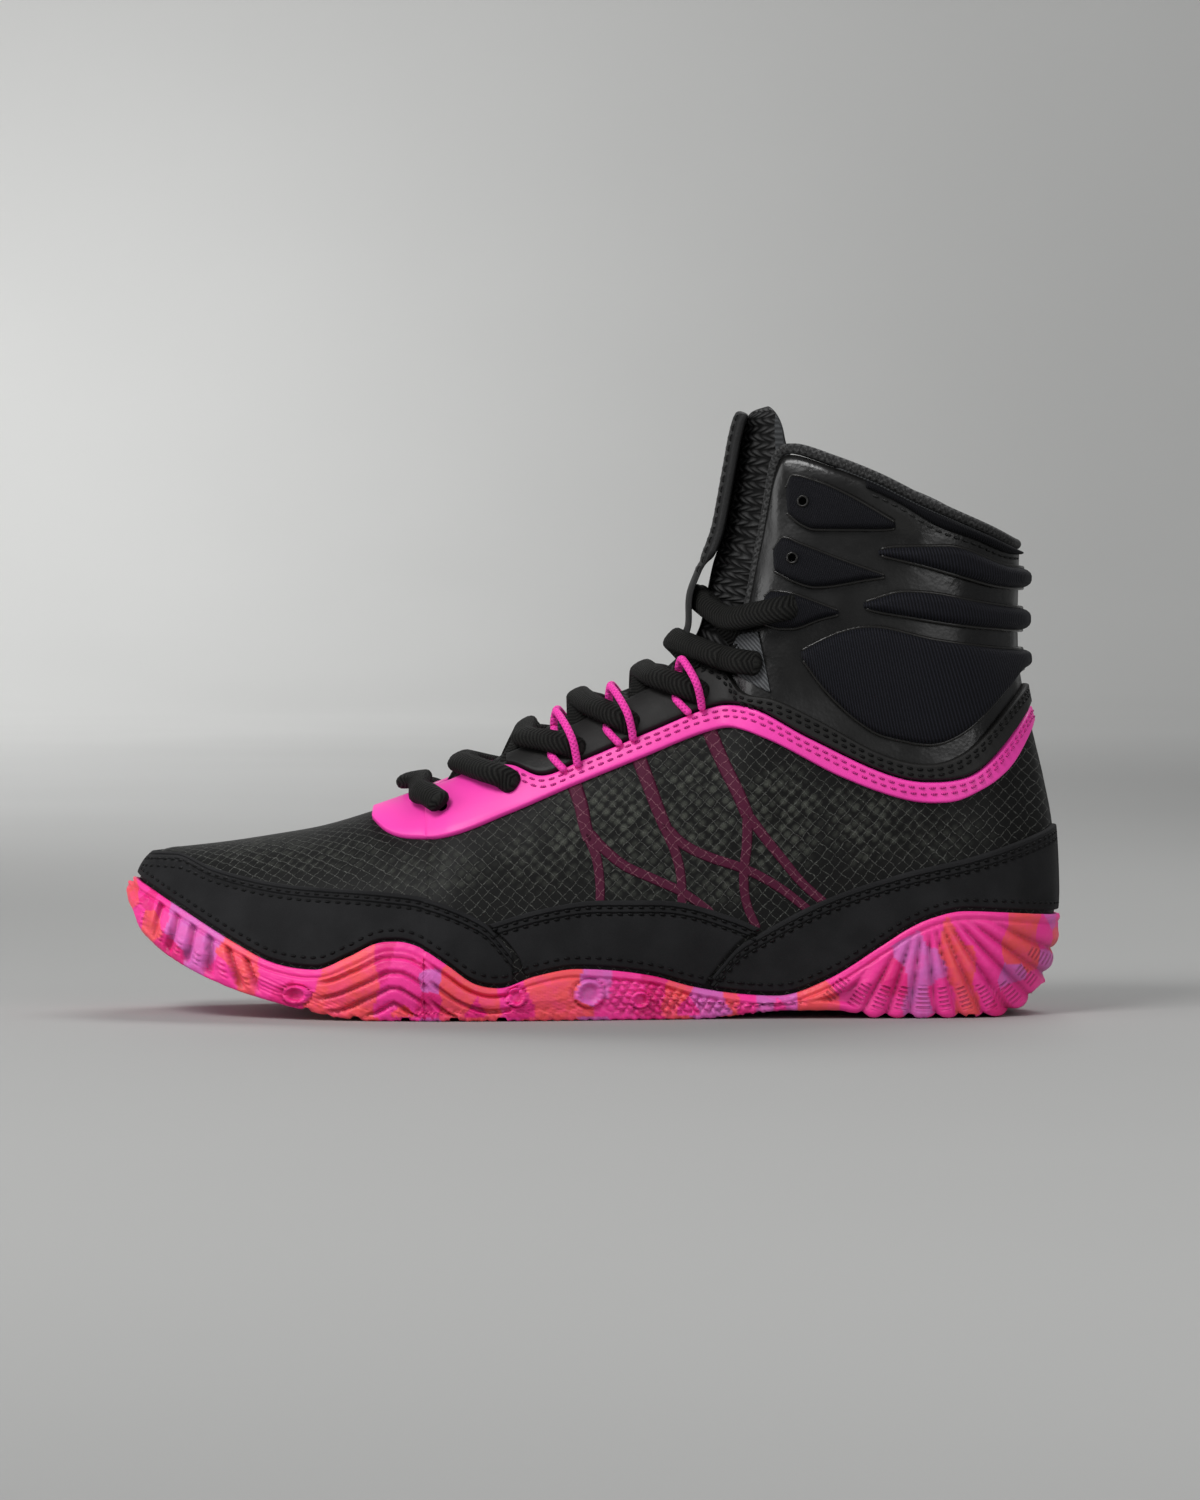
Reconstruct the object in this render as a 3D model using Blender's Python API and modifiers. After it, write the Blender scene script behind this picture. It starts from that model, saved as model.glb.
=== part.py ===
"""Wrestling shoe for the left foot, built from the last outwards.

The toe points along -X, the outer side faces -Y, and the shoe stands on z = 0. The upper's outer
skin is one function of a station (0 at the toe, 1 at the back of the heel) and a climb (0 at the
feather edge, 1 at the top edge). Every rand, band, pad and rib is cut from that function.
"""
import math

import bmesh
import bpy
import mathutils
import numpy as np

# Driving sizes, in metres
LENGTH = 0.285
BALL_WIDTH = 0.0915
COLLAR_HEIGHT = 0.1717
UPPER_WALL = 0.0022
FIT_GAP = 0.0003
RIM_GAP = 0.0005
OVERLAY_GAP = 0.0007
BAND_GAP = 0.0009
LACE_GAP = 0.0010
INSOLE_THICKNESS = 0.003
SOLE_SIDE = 0.0034
SOLE_RIM = 0.0014
SOLE_EDGE_RADIUS = 0.0022
FLUTE_DEPTH = 0.0009
GROOVE_DEPTH = 0.0012
GROOVE_WIDTH = 0.0026
RAND_THICKNESS = 0.0008
BAND_THICKNESS = 0.0008
FACING_THICKNESS = 0.0014
PAD_THICKNESS = 0.0030
RIB_THICKNESS = 0.0030
FIN_THICKNESS = 0.0028
CUFF_THICKNESS = 0.0014
PIPING_RADIUS = 0.0014
HOLE_RADIUS = 0.0015
LACE_WIDTH = 0.0056
LACE_THICKNESS = 0.0020
LACE_STEP = 0.0005
LOOP_RADIUS = 0.0009
COVER_STRAP = 0.0013
COVER_FLAP = 0.0035
TONGUE_WIDTH = 0.503 * BALL_WIDTH
TONGUE_PAD = 0.0055
COVER_WIDTH = 0.565 * TONGUE_WIDTH

# Counts of faces
UPPER_COLUMNS = 40
UPPER_ROWS = 9
HEEL_FLUTES = 11
TOE_BARS = 7

OUTER = -1
INNER = 1

# Where the middle of the whole shoe's box lies: shares of LENGTH and of BALL_WIDTH
MIDDLE_ALONG = 0.4952
MIDDLE_SWAY = -0.0099

# One row a section of the last, from the toe to the back of the heel. Along is a share of LENGTH
# from the toe, height of COLLAR_HEIGHT, outer, inner and sway of BALL_WIDTH. Open is the share of
# the half width left at the top edge, power the roundness, belly the swelling half way up, dome
# how far the section leans over the toe, and hook how far it follows the curve of the heel.
SECTION_COLUMNS = ("foot_along", "foot_height", "top_along", "top_height", "outer", "inner", "sway",
                   "open", "power", "belly", "dome", "hook")
SECTIONS = (
    (0.010, 0.214, 0.055, 0.291, 0.000, 0.000, 0.077, 0.00, 2.2, 0.00, 1.00, 0.00),
    (0.015, 0.193, 0.055, 0.291, 0.098, 0.098, 0.077, 0.00, 2.2, 0.00, 0.95, 0.00),
    (0.026, 0.170, 0.055, 0.291, 0.164, 0.164, 0.077, 0.00, 2.2, 0.00, 0.85, 0.00),
    (0.047, 0.138, 0.055, 0.291, 0.246, 0.230, 0.077, 0.00, 2.2, 0.00, 0.60, 0.00),
    (0.080, 0.108, 0.103, 0.300, 0.333, 0.295, 0.068, 0.00, 2.2, 0.00, 0.30, 0.00),
    (0.125, 0.078, 0.154, 0.313, 0.404, 0.350, 0.055, 0.00, 2.2, 0.00, 0.10, 0.00),
    (0.183, 0.051, 0.207, 0.329, 0.464, 0.404, 0.038, 0.00, 2.2, 0.00, 0.00, 0.00),
    (0.242, 0.035, 0.258, 0.354, 0.503, 0.448, 0.024, 0.00, 2.1, 0.00, 0.00, 0.00),
    (0.295, 0.028, 0.301, 0.379, 0.519, 0.470, 0.017, 0.00, 2.0, 0.00, 0.00, 0.00),
    (0.317, 0.027, 0.320, 0.391, 0.522, 0.472, 0.015, 0.00, 2.0, 0.00, 0.00, 0.00),
    (0.323, 0.027, 0.326, 0.396, 0.523, 0.473, 0.014, 0.09, 2.0, 0.00, 0.00, 0.00),
    (0.343, 0.025, 0.342, 0.407, 0.525, 0.472, 0.013, 0.17, 2.0, 0.00, 0.00, 0.00),
    (0.375, 0.025, 0.375, 0.430, 0.519, 0.461, 0.011, 0.25, 1.9, 0.00, 0.00, 0.00),
    (0.423, 0.025, 0.424, 0.465, 0.503, 0.437, 0.011, 0.31, 1.8, 0.00, 0.00, 0.00),
    (0.482, 0.027, 0.493, 0.517, 0.475, 0.404, 0.013, 0.35, 1.8, 0.00, 0.00, 0.00),
    (0.541, 0.028, 0.562, 0.573, 0.443, 0.372, 0.015, 0.41, 1.9, 0.01, 0.00, 0.00),
    (0.583, 0.028, 0.617, 0.614, 0.421, 0.350, 0.017, 0.49, 2.1, 0.02, 0.00, 0.00),
    (0.615, 0.028, 0.650, 0.667, 0.404, 0.339, 0.019, 0.57, 2.3, 0.03, 0.00, 0.00),
    (0.665, 0.028, 0.672, 0.818, 0.388, 0.330, 0.019, 0.63, 2.7, 0.05, 0.00, 0.00),
    (0.716, 0.030, 0.690, 0.963, 0.377, 0.332, 0.015, 0.69, 2.8, 0.05, 0.00, 0.00),
    (0.742, 0.034, 0.706, 0.986, 0.372, 0.337, 0.013, 0.74, 2.8, 0.04, 0.00, 0.00),
    (0.783, 0.042, 0.746, 0.966, 0.361, 0.341, 0.009, 0.87, 2.8, 0.03, 0.00, 0.05),
    (0.828, 0.051, 0.793, 0.935, 0.350, 0.343, 0.003, 0.96, 2.5, 0.03, 0.00, 0.15),
    (0.876, 0.055, 0.839, 0.897, 0.333, 0.333, 0.000, 1.02, 2.2, 0.03, 0.00, 0.35),
    (0.914, 0.058, 0.878, 0.869, 0.290, 0.290, 0.000, 1.08, 2.2, 0.04, 0.00, 0.60),
    (0.940, 0.060, 0.914, 0.844, 0.213, 0.213, 0.000, 1.12, 2.2, 0.05, 0.00, 0.80),
    (0.958, 0.060, 0.940, 0.823, 0.115, 0.115, 0.000, 1.12, 2.2, 0.05, 0.00, 0.95),
    (0.965, 0.060, 0.950, 0.816, 0.000, 0.000, 0.000, 1.12, 2.2, 0.05, 0.00, 1.00),
)
SECTION = dict(zip(SECTION_COLUMNS, np.array(SECTIONS).T))
STATIONS = np.linspace(0.0, 1.0, len(SECTIONS))

# Flex grooves across the sole's bottom, shares of LENGTH from the toe
FLEX_GROOVES = (0.195, 0.247, 0.299, 0.351, 0.400, 0.830, 0.895)

# The curve of the heel: climb, and push to the back as a share of LENGTH
HEEL_CURVE = ((0.0, 0.0), (0.11, 0.0208), (0.23, 0.0272), (0.35, 0.0262), (0.47, 0.0182),
              (0.57, 0.0089), (0.66, 0.0006), (0.76, -0.0045), (0.9, -0.0025), (1.0, 0.0))

# Edges seen from the side: shares of LENGTH from the toe, and of COLLAR_HEIGHT
SOLE_WAVE = ((0.010, 0.237), (0.055, 0.193), (0.119, 0.131), (0.160, 0.099), (0.205, 0.088),
             (0.240, 0.110), (0.269, 0.133), (0.290, 0.136), (0.311, 0.129), (0.343, 0.097),
             (0.370, 0.067), (0.397, 0.058), (0.434, 0.078), (0.479, 0.090), (0.557, 0.078),
             (0.599, 0.058), (0.642, 0.046), (0.690, 0.041), (0.743, 0.069), (0.802, 0.129),
             (0.828, 0.158), (0.855, 0.177), (0.887, 0.188), (0.930, 0.184), (1.000, 0.173))
SOLE_BOTTOM = ((0.000, 0.205), (0.009, 0.159), (0.023, 0.129), (0.050, 0.097), (0.103, 0.057),
               (0.157, 0.030), (0.210, 0.011), (0.263, 0.000), (0.600, 0.000), (0.700, 0.014),
               (0.750, 0.014), (0.800, 0.000), (0.919, 0.000), (0.945, 0.008), (0.964, 0.028),
               (0.981, 0.071))
TOE_RAND_TOP = ((0.040, 0.279), (0.058, 0.277), (0.094, 0.257), (0.162, 0.234), (0.277, 0.221),
                (0.320, 0.212), (0.371, 0.181), (0.386, 0.165), (0.420, 0.098))
MID_RAND_TOP = ((0.386, 0.168), (0.442, 0.195), (0.504, 0.208), (0.545, 0.209), (0.578, 0.207),
                (0.643, 0.179), (0.676, 0.156))
MID_RAND_ENDS = ((0.384, 0.171), (0.420, 0.103), (0.430, 0.060), (0.600, 0.030), (0.617, 0.073),
                 (0.629, 0.097), (0.648, 0.132), (0.670, 0.156))
HEEL_RAND_TOP = ((0.617, 0.067), (0.629, 0.091), (0.648, 0.126), (0.676, 0.154), (0.738, 0.207),
                 (0.820, 0.253), (0.901, 0.285), (0.969, 0.322), (0.994, 0.340))
BAND_BOTTOM = ((0.254, 0.356), (0.277, 0.324), (0.306, 0.313), (0.334, 0.315), (0.407, 0.358),
               (0.469, 0.402), (0.545, 0.453), (0.617, 0.501), (0.640, 0.508), (0.677, 0.490),
               (0.757, 0.423), (0.826, 0.382), (0.854, 0.377), (0.880, 0.381), (0.902, 0.396),
               (0.921, 0.416), (0.939, 0.446), (0.963, 0.513))
BAND_TOP = ((0.300, 0.383), (0.342, 0.405), (0.385, 0.434), (0.409, 0.438), (0.441, 0.421),
            (0.482, 0.446), (0.557, 0.499), (0.617, 0.540), (0.640, 0.547), (0.662, 0.543),
            (0.722, 0.492), (0.814, 0.423), (0.849, 0.414), (0.872, 0.416), (0.896, 0.427),
            (0.914, 0.450), (0.943, 0.508), (0.957, 0.542))
ANKLE_SEAM = ((0.560, 0.660), (0.640, 0.600), (0.652, 0.573), (0.687, 0.559), (0.733, 0.522),
              (0.803, 0.462), (0.849, 0.446), (0.872, 0.453), (0.896, 0.476), (0.930, 0.538),
              (0.955, 0.586))
PAD_TOP = ((0.712, 0.641), (0.755, 0.674), (0.788, 0.685), (0.857, 0.662), (0.935, 0.644),
           (0.957, 0.642))
PAD_BOTTOM = ((0.712, 0.639), (0.741, 0.573), (0.791, 0.503), (0.826, 0.485), (0.850, 0.480),
              (0.868, 0.485), (0.894, 0.512), (0.930, 0.573), (0.943, 0.602), (0.957, 0.609))
RIB_HIGH_TOP = ((0.792, 0.818), (0.812, 0.825), (0.868, 0.826), (0.929, 0.793), (0.957, 0.784))
RIB_HIGH_BOTTOM = ((0.792, 0.812), (0.837, 0.795), (0.877, 0.775), (0.919, 0.756), (0.957, 0.749))
RIB_LOW_TOP = ((0.776, 0.726), (0.826, 0.747), (0.857, 0.744), (0.898, 0.729), (0.957, 0.713))
RIB_LOW_BOTTOM = ((0.776, 0.720), (0.791, 0.713), (0.826, 0.703), (0.877, 0.688), (0.957, 0.675))
CUFF_BOTTOM = ((0.775, 0.935), (0.817, 0.902), (0.857, 0.862), (0.898, 0.837), (0.935, 0.812),
               (0.957, 0.808))
# Where the pieces of the upper start and end: along, height
TOE_RAND_END = (0.410, 0.110)
MID_RAND_START = (0.393, 0.160)
MID_RAND_END = (0.660, 0.155)
HEEL_RAND_START = (0.628, 0.075)
BAND_START = (0.262, 0.350)
EYESTAY_START = (0.405, 0.455)
PIPING_START = (0.655, 0.760)
PAD_INSET = 0.008
RIB_INSET = 0.006

# Lace tabs on the shaft, from the collar down: upper edge, lower edge and the lace hole
FINS = (
    ((0.701, 0.930), (0.708, 0.949), (0.735, 0.938), (0.765, 0.915), (0.814, 0.867)),
    ((0.700, 0.885), (0.714, 0.865), (0.731, 0.855), (0.796, 0.854), (0.814, 0.857)),
    (0.719, 0.904),
), (
    ((0.689, 0.822), (0.698, 0.841), (0.714, 0.830), (0.776, 0.791), (0.804, 0.775)),
    ((0.688, 0.782), (0.710, 0.763), (0.730, 0.754), (0.788, 0.768), (0.804, 0.771)),
    (0.709, 0.804),
), (
    ((0.681, 0.738), (0.686, 0.747), (0.705, 0.743), (0.735, 0.726), (0.755, 0.713)),
    ((0.677, 0.690), (0.694, 0.681), (0.705, 0.681), (0.735, 0.698), (0.755, 0.706)),
    (0.699, 0.714),
)

# The tongue's front: along, height, half width as a share of half TONGUE_WIDTH, wrap (how far its
# sides lie behind the middle, a share of TONGUE_WIDTH) and padding (a share of TONGUE_PAD)
TONGUE = (
    (0.306, 0.349, 0.39, 0.03, 0.35),
    (0.343, 0.393, 0.54, 0.07, 0.40),
    (0.386, 0.442, 0.65, 0.16, 0.50),
    (0.424, 0.481, 0.74, 0.23, 0.60),
    (0.482, 0.538, 0.78, 0.28, 0.70),
    (0.546, 0.582, 0.80, 0.29, 0.80),
    (0.580, 0.619, 0.80, 0.31, 0.90),
    (0.607, 0.673, 0.80, 0.40, 0.95),
    (0.617, 0.743, 0.83, 0.43, 1.00),
    (0.624, 0.796, 0.87, 0.42, 1.00),
    (0.635, 0.853, 0.90, 0.41, 1.00),
    (0.647, 0.959, 0.90, 0.37, 1.00),
    (0.654, 1.021, 0.86, 0.29, 1.00),
    (0.661, 1.055, 0.78, 0.24, 0.90),
    (0.676, 1.073, 0.56, 0.16, 0.70),
)
# The strap before the tongue: share of the way up the tongue, how far it stands off (a share of the
# room that a lace needs) and how far it has grown from strap to flap
COVER = (
    (0.500, 1.0, 0.0), (0.560, 1.2, 0.0), (0.600, 1.0, 0.0), (0.635, 0.6, 0.0), (0.655, 0.2, 1.0),
    (0.740, 0.0, 1.0), (0.840, 0.0, 1.0), (0.930, 0.0, 1.0),
)
# Eyelets from the vamp to the shaft: along, height, and height of the throat's edge beside it
EYELETS = ((0.337, 0.356, 0.400), (0.400, 0.402, 0.437), (0.473, 0.467, 0.494),
           (0.527, 0.524, 0.547), (0.602, 0.570, 0.600), (0.660, 0.625, 0.640),
           (0.699, 0.714, 0.735))
# Each lace crossing: share of the way up the tongue, and its stand-off as a share of LACE_GAP
CROSSINGS = ((0.115, 1.0), (0.225, 1.0), (0.290, 1.0), (0.370, 1.0), (0.462, 1.6), (0.560, 1.0))
FRONT_BAR_ALONG = 0.322
FRONT_BAR_LIFT = 1.2
LOOPED_EYELETS = (2, 3, 4)
# A bungee loop round a lace's end: along and height from its eyelet, and whether it lies on top
LOOP_PATH = ((-0.008, -0.032, 0.0), (-0.022, -0.012, 0.8), (-0.016, 0.022, 1.0), (-0.002, 0.030, 1.0),
             (0.008, 0.010, 1.0), (0.010, -0.026, 0.0))


def smooth_curve(knots, values, at):
    """Cubic curve through the points, with slopes held so that it never overshoots them."""
    knots, values = np.asarray(knots, float), np.asarray(values, float)
    rise = np.diff(values) / np.diff(knots)
    slope = np.zeros(len(values))
    middle = (rise[:-1] + rise[1:]) / 2
    limit = 3 * np.minimum(abs(rise[:-1]), abs(rise[1:]))
    same_way = rise[:-1] * rise[1:] > 0
    slope[1:-1] = np.where(same_way, np.sign(middle) * np.minimum(abs(middle), limit), 0)
    slope[0], slope[-1] = rise[0], rise[-1]
    at = np.clip(at, knots[0], knots[-1])
    cell = np.clip(np.searchsorted(knots, at, side="right") - 1, 0, len(knots) - 2)
    width = knots[cell + 1] - knots[cell]
    t = (at - knots[cell]) / width
    start = (1 + 2 * t) * (1 - t) ** 2 * values[cell] + t * (1 - t) ** 2 * width * slope[cell]
    end = t * t * (3 - 2 * t) * values[cell + 1] + t * t * (t - 1) * width * slope[cell + 1]
    return start + end


def line_height(line, x):
    """Height in metres of a side-view edge above the place x."""
    along, height = np.array(line).T
    return smooth_curve(along, height, x / LENGTH + MIDDLE_ALONG) * COLLAR_HEIGHT


def section(name, station):
    return smooth_curve(STATIONS, SECTION[name], station)


def skin(station, climb, side):
    """Point of the upper's outer skin: a straight rib from feather to top edge as seen from the
    side, whose half width is open + (1 - open)(1 - climb^power)^bend, swollen by the belly."""
    power, opening = section("power", station), section("open", station)
    round_climb = np.clip(1 - climb ** power, 0, 1)
    upright = np.clip((opening - 0.35) / 0.3, 0, 1)
    upright = upright * upright * (3 - 2 * upright)
    bend = 1 / power + (1 - 1 / power) * upright
    width = opening + (1 - opening) * round_climb ** bend
    width = width * (1 + section("belly", station) * np.sin(math.pi * climb) ** 2)
    tuck = 1 - 0.05 * np.clip(1 - climb / 0.2, 0, 1) ** 2
    reach = section("outer" if side == OUTER else "inner", station) * BALL_WIDTH * width * tuck
    dome = section("dome", station)
    lean = (1 - dome) * climb + dome * (1 - round_climb ** (1 / power))
    along = section("foot_along", station) * (1 - lean) + section("top_along", station) * lean
    along = along + section("hook", station) * smooth_curve(*np.array(HEEL_CURVE).T, climb)
    height = section("foot_height", station) * (1 - climb) + section("top_height", station) * climb
    y = (section("sway", station) - MIDDLE_SWAY) * BALL_WIDTH + side * reach
    return np.stack([(along - MIDDLE_ALONG) * LENGTH, y, height * COLLAR_HEIGHT], axis=-1)


def lifted(station, climb, side, lift):
    """Skin moved outwards by lift along its own normal, kept in the mirror plane where it meets."""
    station, climb = np.broadcast_arrays(np.asarray(station, float), np.asarray(climb, float))
    step = 0.002
    u, v = np.clip(station, 2 * step, 1 - 2 * step), np.clip(climb, 2 * step, 0.985)
    along = skin(u + step, v, side) - skin(u - step, v, side)
    up = skin(u, v + step, side) - skin(u, v - step, side)
    normal = np.cross(along, up) * -side
    closed = (station <= 0) | (station >= 1) | ((climb >= 1) & (section("open", station) <= 0))
    normal[..., 1] = np.where(closed, 0, normal[..., 1])
    normal = normal / np.linalg.norm(normal, axis=-1, keepdims=True)
    return skin(station, climb, side) + normal * np.asarray(lift)[..., None]


def climb_of(line, station, side, lift=0.0):
    """Climb at which each rib crosses a side-view edge, found by halving."""
    station = np.asarray(station, float)
    low, high = np.zeros_like(station), np.ones_like(station)
    for _ in range(30):
        middle = (low + high) / 2
        point = skin(station, middle, side)
        below = point[..., 2] < line_height(line, point[..., 0]) + lift
        low, high = np.where(below, middle, low), np.where(below, high, middle)
    return (low + high) / 2


def station_at(along, height, side=OUTER):
    """Station and climb of the skin's point that shows at a place in the side view."""
    target = np.array([(along - MIDDLE_ALONG) * LENGTH, height * COLLAR_HEIGHT])
    u, v = np.meshgrid(np.linspace(0, 1, 401), np.linspace(0, 1, 201), indexing="ij")
    gap = np.linalg.norm(skin(u, v, side)[..., [0, 2]] - target, axis=-1)
    best = np.unravel_index(np.argmin(gap), gap.shape)
    return u[best], v[best]


def columns_between(start, end):
    """The upper's own columns between two stations, with the two ends added."""
    columns = np.linspace(0, 1, UPPER_COLUMNS)
    margin = 0.3 / UPPER_COLUMNS
    kept = columns[(columns > start + margin) & (columns < end - margin)]
    return np.concatenate([[start], kept, [end]])


def material(name, colour, roughness, metallic=0.0):
    finish = bpy.data.materials.new(name)
    finish.use_nodes = True
    shader = finish.node_tree.nodes["Principled BSDF"]
    shader.inputs["Base Color"].default_value = (*colour, 1)
    shader.inputs["Roughness"].default_value = roughness
    shader.inputs["Metallic"].default_value = metallic
    finish.diffuse_color = (*colour, 1)
    return finish


def add_object(name, mesh, finish, collection=None):
    piece = bpy.data.objects.new(name, mesh)
    (collection or SHOE).objects.link(piece)
    if finish:
        mesh.materials.append(finish)
    return piece


def grid_mesh(name, grids, weld=True):
    """One mesh of several grids of points; flip says that a grid's faces are turned round."""
    verts, faces, base = [], [], 0
    for grid, flip in grids:
        rows, cols = grid.shape[:2]
        index = base + np.arange(rows * cols).reshape(rows, cols)
        quads = np.stack([index[:-1, :-1], index[1:, :-1], index[1:, 1:], index[:-1, 1:]], axis=-1)
        quads = quads.reshape(-1, 4)
        faces.append(quads[:, ::-1] if flip else quads)
        verts.append(grid.reshape(-1, 3))
        base += rows * cols
    mesh = bpy.data.meshes.new(name)
    mesh.from_pydata(np.concatenate(verts).tolist(), [], np.concatenate(faces).tolist())
    if weld:
        shape = bmesh.new()
        shape.from_mesh(mesh)
        bmesh.ops.remove_doubles(shape, verts=shape.verts, dist=2e-5)
        bmesh.ops.dissolve_degenerate(shape, edges=shape.edges, dist=2e-5)
        shape.to_mesh(mesh)
        shape.free()
    mesh.shade_smooth()
    return mesh


def thicken(piece, thickness, offset):
    wall = piece.modifiers.new("wall", "SOLIDIFY")
    wall.thickness = thickness
    wall.offset = offset
    wall.use_even_offset = False
    return piece


def climb_at(station, arc):
    """Climb at an even share of the way over the skin: by equal angles over the vamp, where the
    skin closes on top, and by equal steps up the shaft."""
    rounded = np.sin(arc * math.pi / 2) ** (2 / section("power", station))
    upright = np.clip(section("open", station) / 0.6, 0, 1)
    return rounded * (1 - upright) + arc * upright


def arc_of(station, climb):
    """Even share of the way over the skin at a climb, found by halving."""
    low, high = np.zeros_like(station), np.ones_like(station)
    for _ in range(30):
        middle = (low + high) / 2
        below = climb_at(station, middle) < climb
        low, high = np.where(below, middle, low), np.where(below, high, middle)
    return (low + high) / 2


def panel(name, finish, columns, low, high, rows, thickness, sides=(OUTER, INNER), lift=OVERLAY_GAP):
    """Overlay on the skin between two climbs along the columns, as a sheet given its thickness."""
    share = np.linspace(0, 1, rows + 1)
    grids = []
    for side in sides:
        start, end = arc_of(columns, low(columns, side)), arc_of(columns, high(columns, side))
        climb = climb_at(columns[:, None], start[:, None] + (end - start)[:, None] * share)
        station = np.broadcast_to(columns[:, None], climb.shape)
        grids.append((lifted(station, climb, side, np.full(climb.shape, lift)), side == INNER))
    return thicken(add_object(name, grid_mesh(name, grids), finish), thickness, 1)


def edge(line, lift=0.0):
    """Function that gives the climbs of a side-view edge."""
    return lambda columns, side: climb_of(line, columns, side, lift)


def top_edge(columns, side):
    return np.ones_like(columns)


def make_upper(finish):
    columns = np.linspace(0, 1, UPPER_COLUMNS)
    climb = climb_at(columns[:, None], np.linspace(0, 1, UPPER_ROWS + 1)[None])
    station = np.broadcast_to(columns[:, None], climb.shape)
    grids = [(lifted(station, climb, side, np.zeros(climb.shape)), side == INNER)
             for side in (OUTER, INNER)]
    return thicken(add_object("upper", grid_mesh("upper", grids), finish), UPPER_WALL, -1)


def sole_columns():
    """Stations of the sole: two to each flute of heel and toe, plain ones between."""
    toe_end, heel_start = 0.24, 0.70
    toe = np.linspace(0, toe_end, 2 * TOE_BARS + 1)
    middle = np.linspace(toe_end, heel_start, 23)[1:-1]
    heel = np.linspace(heel_start, 1, 2 * HEEL_FLUTES + 1)
    return np.concatenate([toe, middle, heel])


def flute_pattern(columns):
    """1 on a rib's crest and 0 in the groove beside it, and 1 along the plain middle."""
    pattern = np.ones_like(columns)
    pattern[1:2 * TOE_BARS:2] = 0
    pattern[-2 * HEEL_FLUTES::2] = 0
    return pattern


def make_outsole(finish):
    """Each half is a row of profiles from the floor's spine over the rim and down to the bottom."""
    columns = sole_columns()
    flute = flute_pattern(columns)
    spine = np.stack([(section("foot_along", columns) - MIDDLE_ALONG) * LENGTH,
                      (section("sway", columns) - MIDDLE_SWAY) * BALL_WIDTH,
                      section("foot_height", columns) * COLLAR_HEIGHT - FIT_GAP], axis=1)
    tread = spine.copy()
    tread[:, 2] = line_height(SOLE_BOTTOM, tread[:, 0])
    grids = []
    for side in (OUTER, INNER):
        rim = climb_of(SOLE_WAVE, columns, side)
        inside = lifted(columns, rim, side, np.full(len(columns), RIM_GAP))
        corner = lifted(columns, 0 * rim, side, np.full(len(columns), RIM_GAP))
        corner[:, 2] = skin(columns, 0 * rim, side)[:, 2] - FIT_GAP
        middle = lifted(columns, rim * 0.5, side, np.full(len(columns), RIM_GAP))
        lip = lifted(columns, rim, side, np.full(len(columns), RIM_GAP + SOLE_RIM))
        groove = FLUTE_DEPTH * (1 - flute)
        high = lifted(columns, rim * 0.72, side, RIM_GAP + SOLE_RIM * 1.15 - groove * 0.3)
        belt = lifted(columns, rim * 0.36, side, RIM_GAP + SOLE_SIDE * 0.85 - groove)
        foot = lifted(columns, 0 * rim, side, RIM_GAP + SOLE_SIDE - groove)
        floor = line_height(SOLE_BOTTOM, foot[:, 0])
        wall = foot.copy()
        wall[:, 2] = np.minimum(foot[:, 2], floor + SOLE_EDGE_RADIUS)
        inset = wall - corner
        inset[:, 2] = 0
        reach = np.maximum(np.linalg.norm(inset, axis=1, keepdims=True), 1e-6)
        bottom = wall - inset / reach * SOLE_EDGE_RADIUS * 0.8
        bottom[:, 2] = line_height(SOLE_BOTTOM, bottom[:, 0])
        profile = [spine, corner, middle, inside, lip, high, belt, foot, wall, bottom, tread]
        grids.append((np.stack(profile, axis=1), side == INNER))
    mesh = grid_mesh("outsole", grids)
    turn_outwards(mesh)
    return grooved(add_object("outsole", mesh, finish))


def grooved(sole):
    """Cuts the flex grooves, a straight box each, so that the bottom stands in lugs."""
    shape = bmesh.new()
    for along in FLEX_GROOVES:
        x = (along - MIDDLE_ALONG) * LENGTH
        top = line_height(SOLE_BOTTOM, x) + GROOVE_DEPTH
        bar = bmesh.ops.create_cube(shape, size=1.0)["verts"]
        bmesh.ops.scale(shape, vec=(GROOVE_WIDTH, 2 * BALL_WIDTH, 2 * top), verts=bar)
        bmesh.ops.translate(shape, vec=(x, 0, 0), verts=bar)
    mesh = bpy.data.meshes.new("flex_grooves")
    shape.to_mesh(mesh)
    shape.free()
    cutter = add_object("flex_grooves", mesh, None, GUIDES)
    hide(cutter)
    cut = sole.modifiers.new("flex_grooves", "BOOLEAN")
    cut.operation = "DIFFERENCE"
    cut.object = cutter
    return sole


def make_insole(finish):
    """Flat sheet over the sole's floor, kept a gap inside the upper's wall."""
    columns = np.linspace(0, 1, 24)
    inset = -(UPPER_WALL + 2 * FIT_GAP)
    edges = [lifted(columns, 0 * columns, side, np.full(len(columns), inset))
             for side in (OUTER, INNER)]
    share = np.linspace(0, 1, 4)[None, :, None]
    grid = edges[0][:, None] * (1 - share) + edges[1][:, None] * share
    grid[..., 2] = (section("foot_height", columns) * COLLAR_HEIGHT)[:, None]
    piece = add_object("insole", grid_mesh("insole", [(grid, False)]), finish)
    return thicken(piece, INSOLE_THICKNESS, 1)


def slab(name, finish, front, back):
    """Closed body between two grids of points, with walls along their four edges."""
    grids = [(front, False), (back, True)]
    for cut in (np.s_[0, :], np.s_[-1, :], np.s_[:, 0], np.s_[:, -1]):
        grids.append((np.stack([front[cut], back[cut]], axis=1), False))
    mesh = grid_mesh(name, grids)
    turn_outwards(mesh)
    return add_object(name, mesh, finish)


def turn_outwards(mesh):
    shape = bmesh.new()
    shape.from_mesh(mesh)
    bmesh.ops.recalc_face_normals(shape, faces=shape.faces)
    shape.to_mesh(mesh)
    shape.free()
    mesh.set_sharp_from_angle(angle=math.radians(40))


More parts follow.
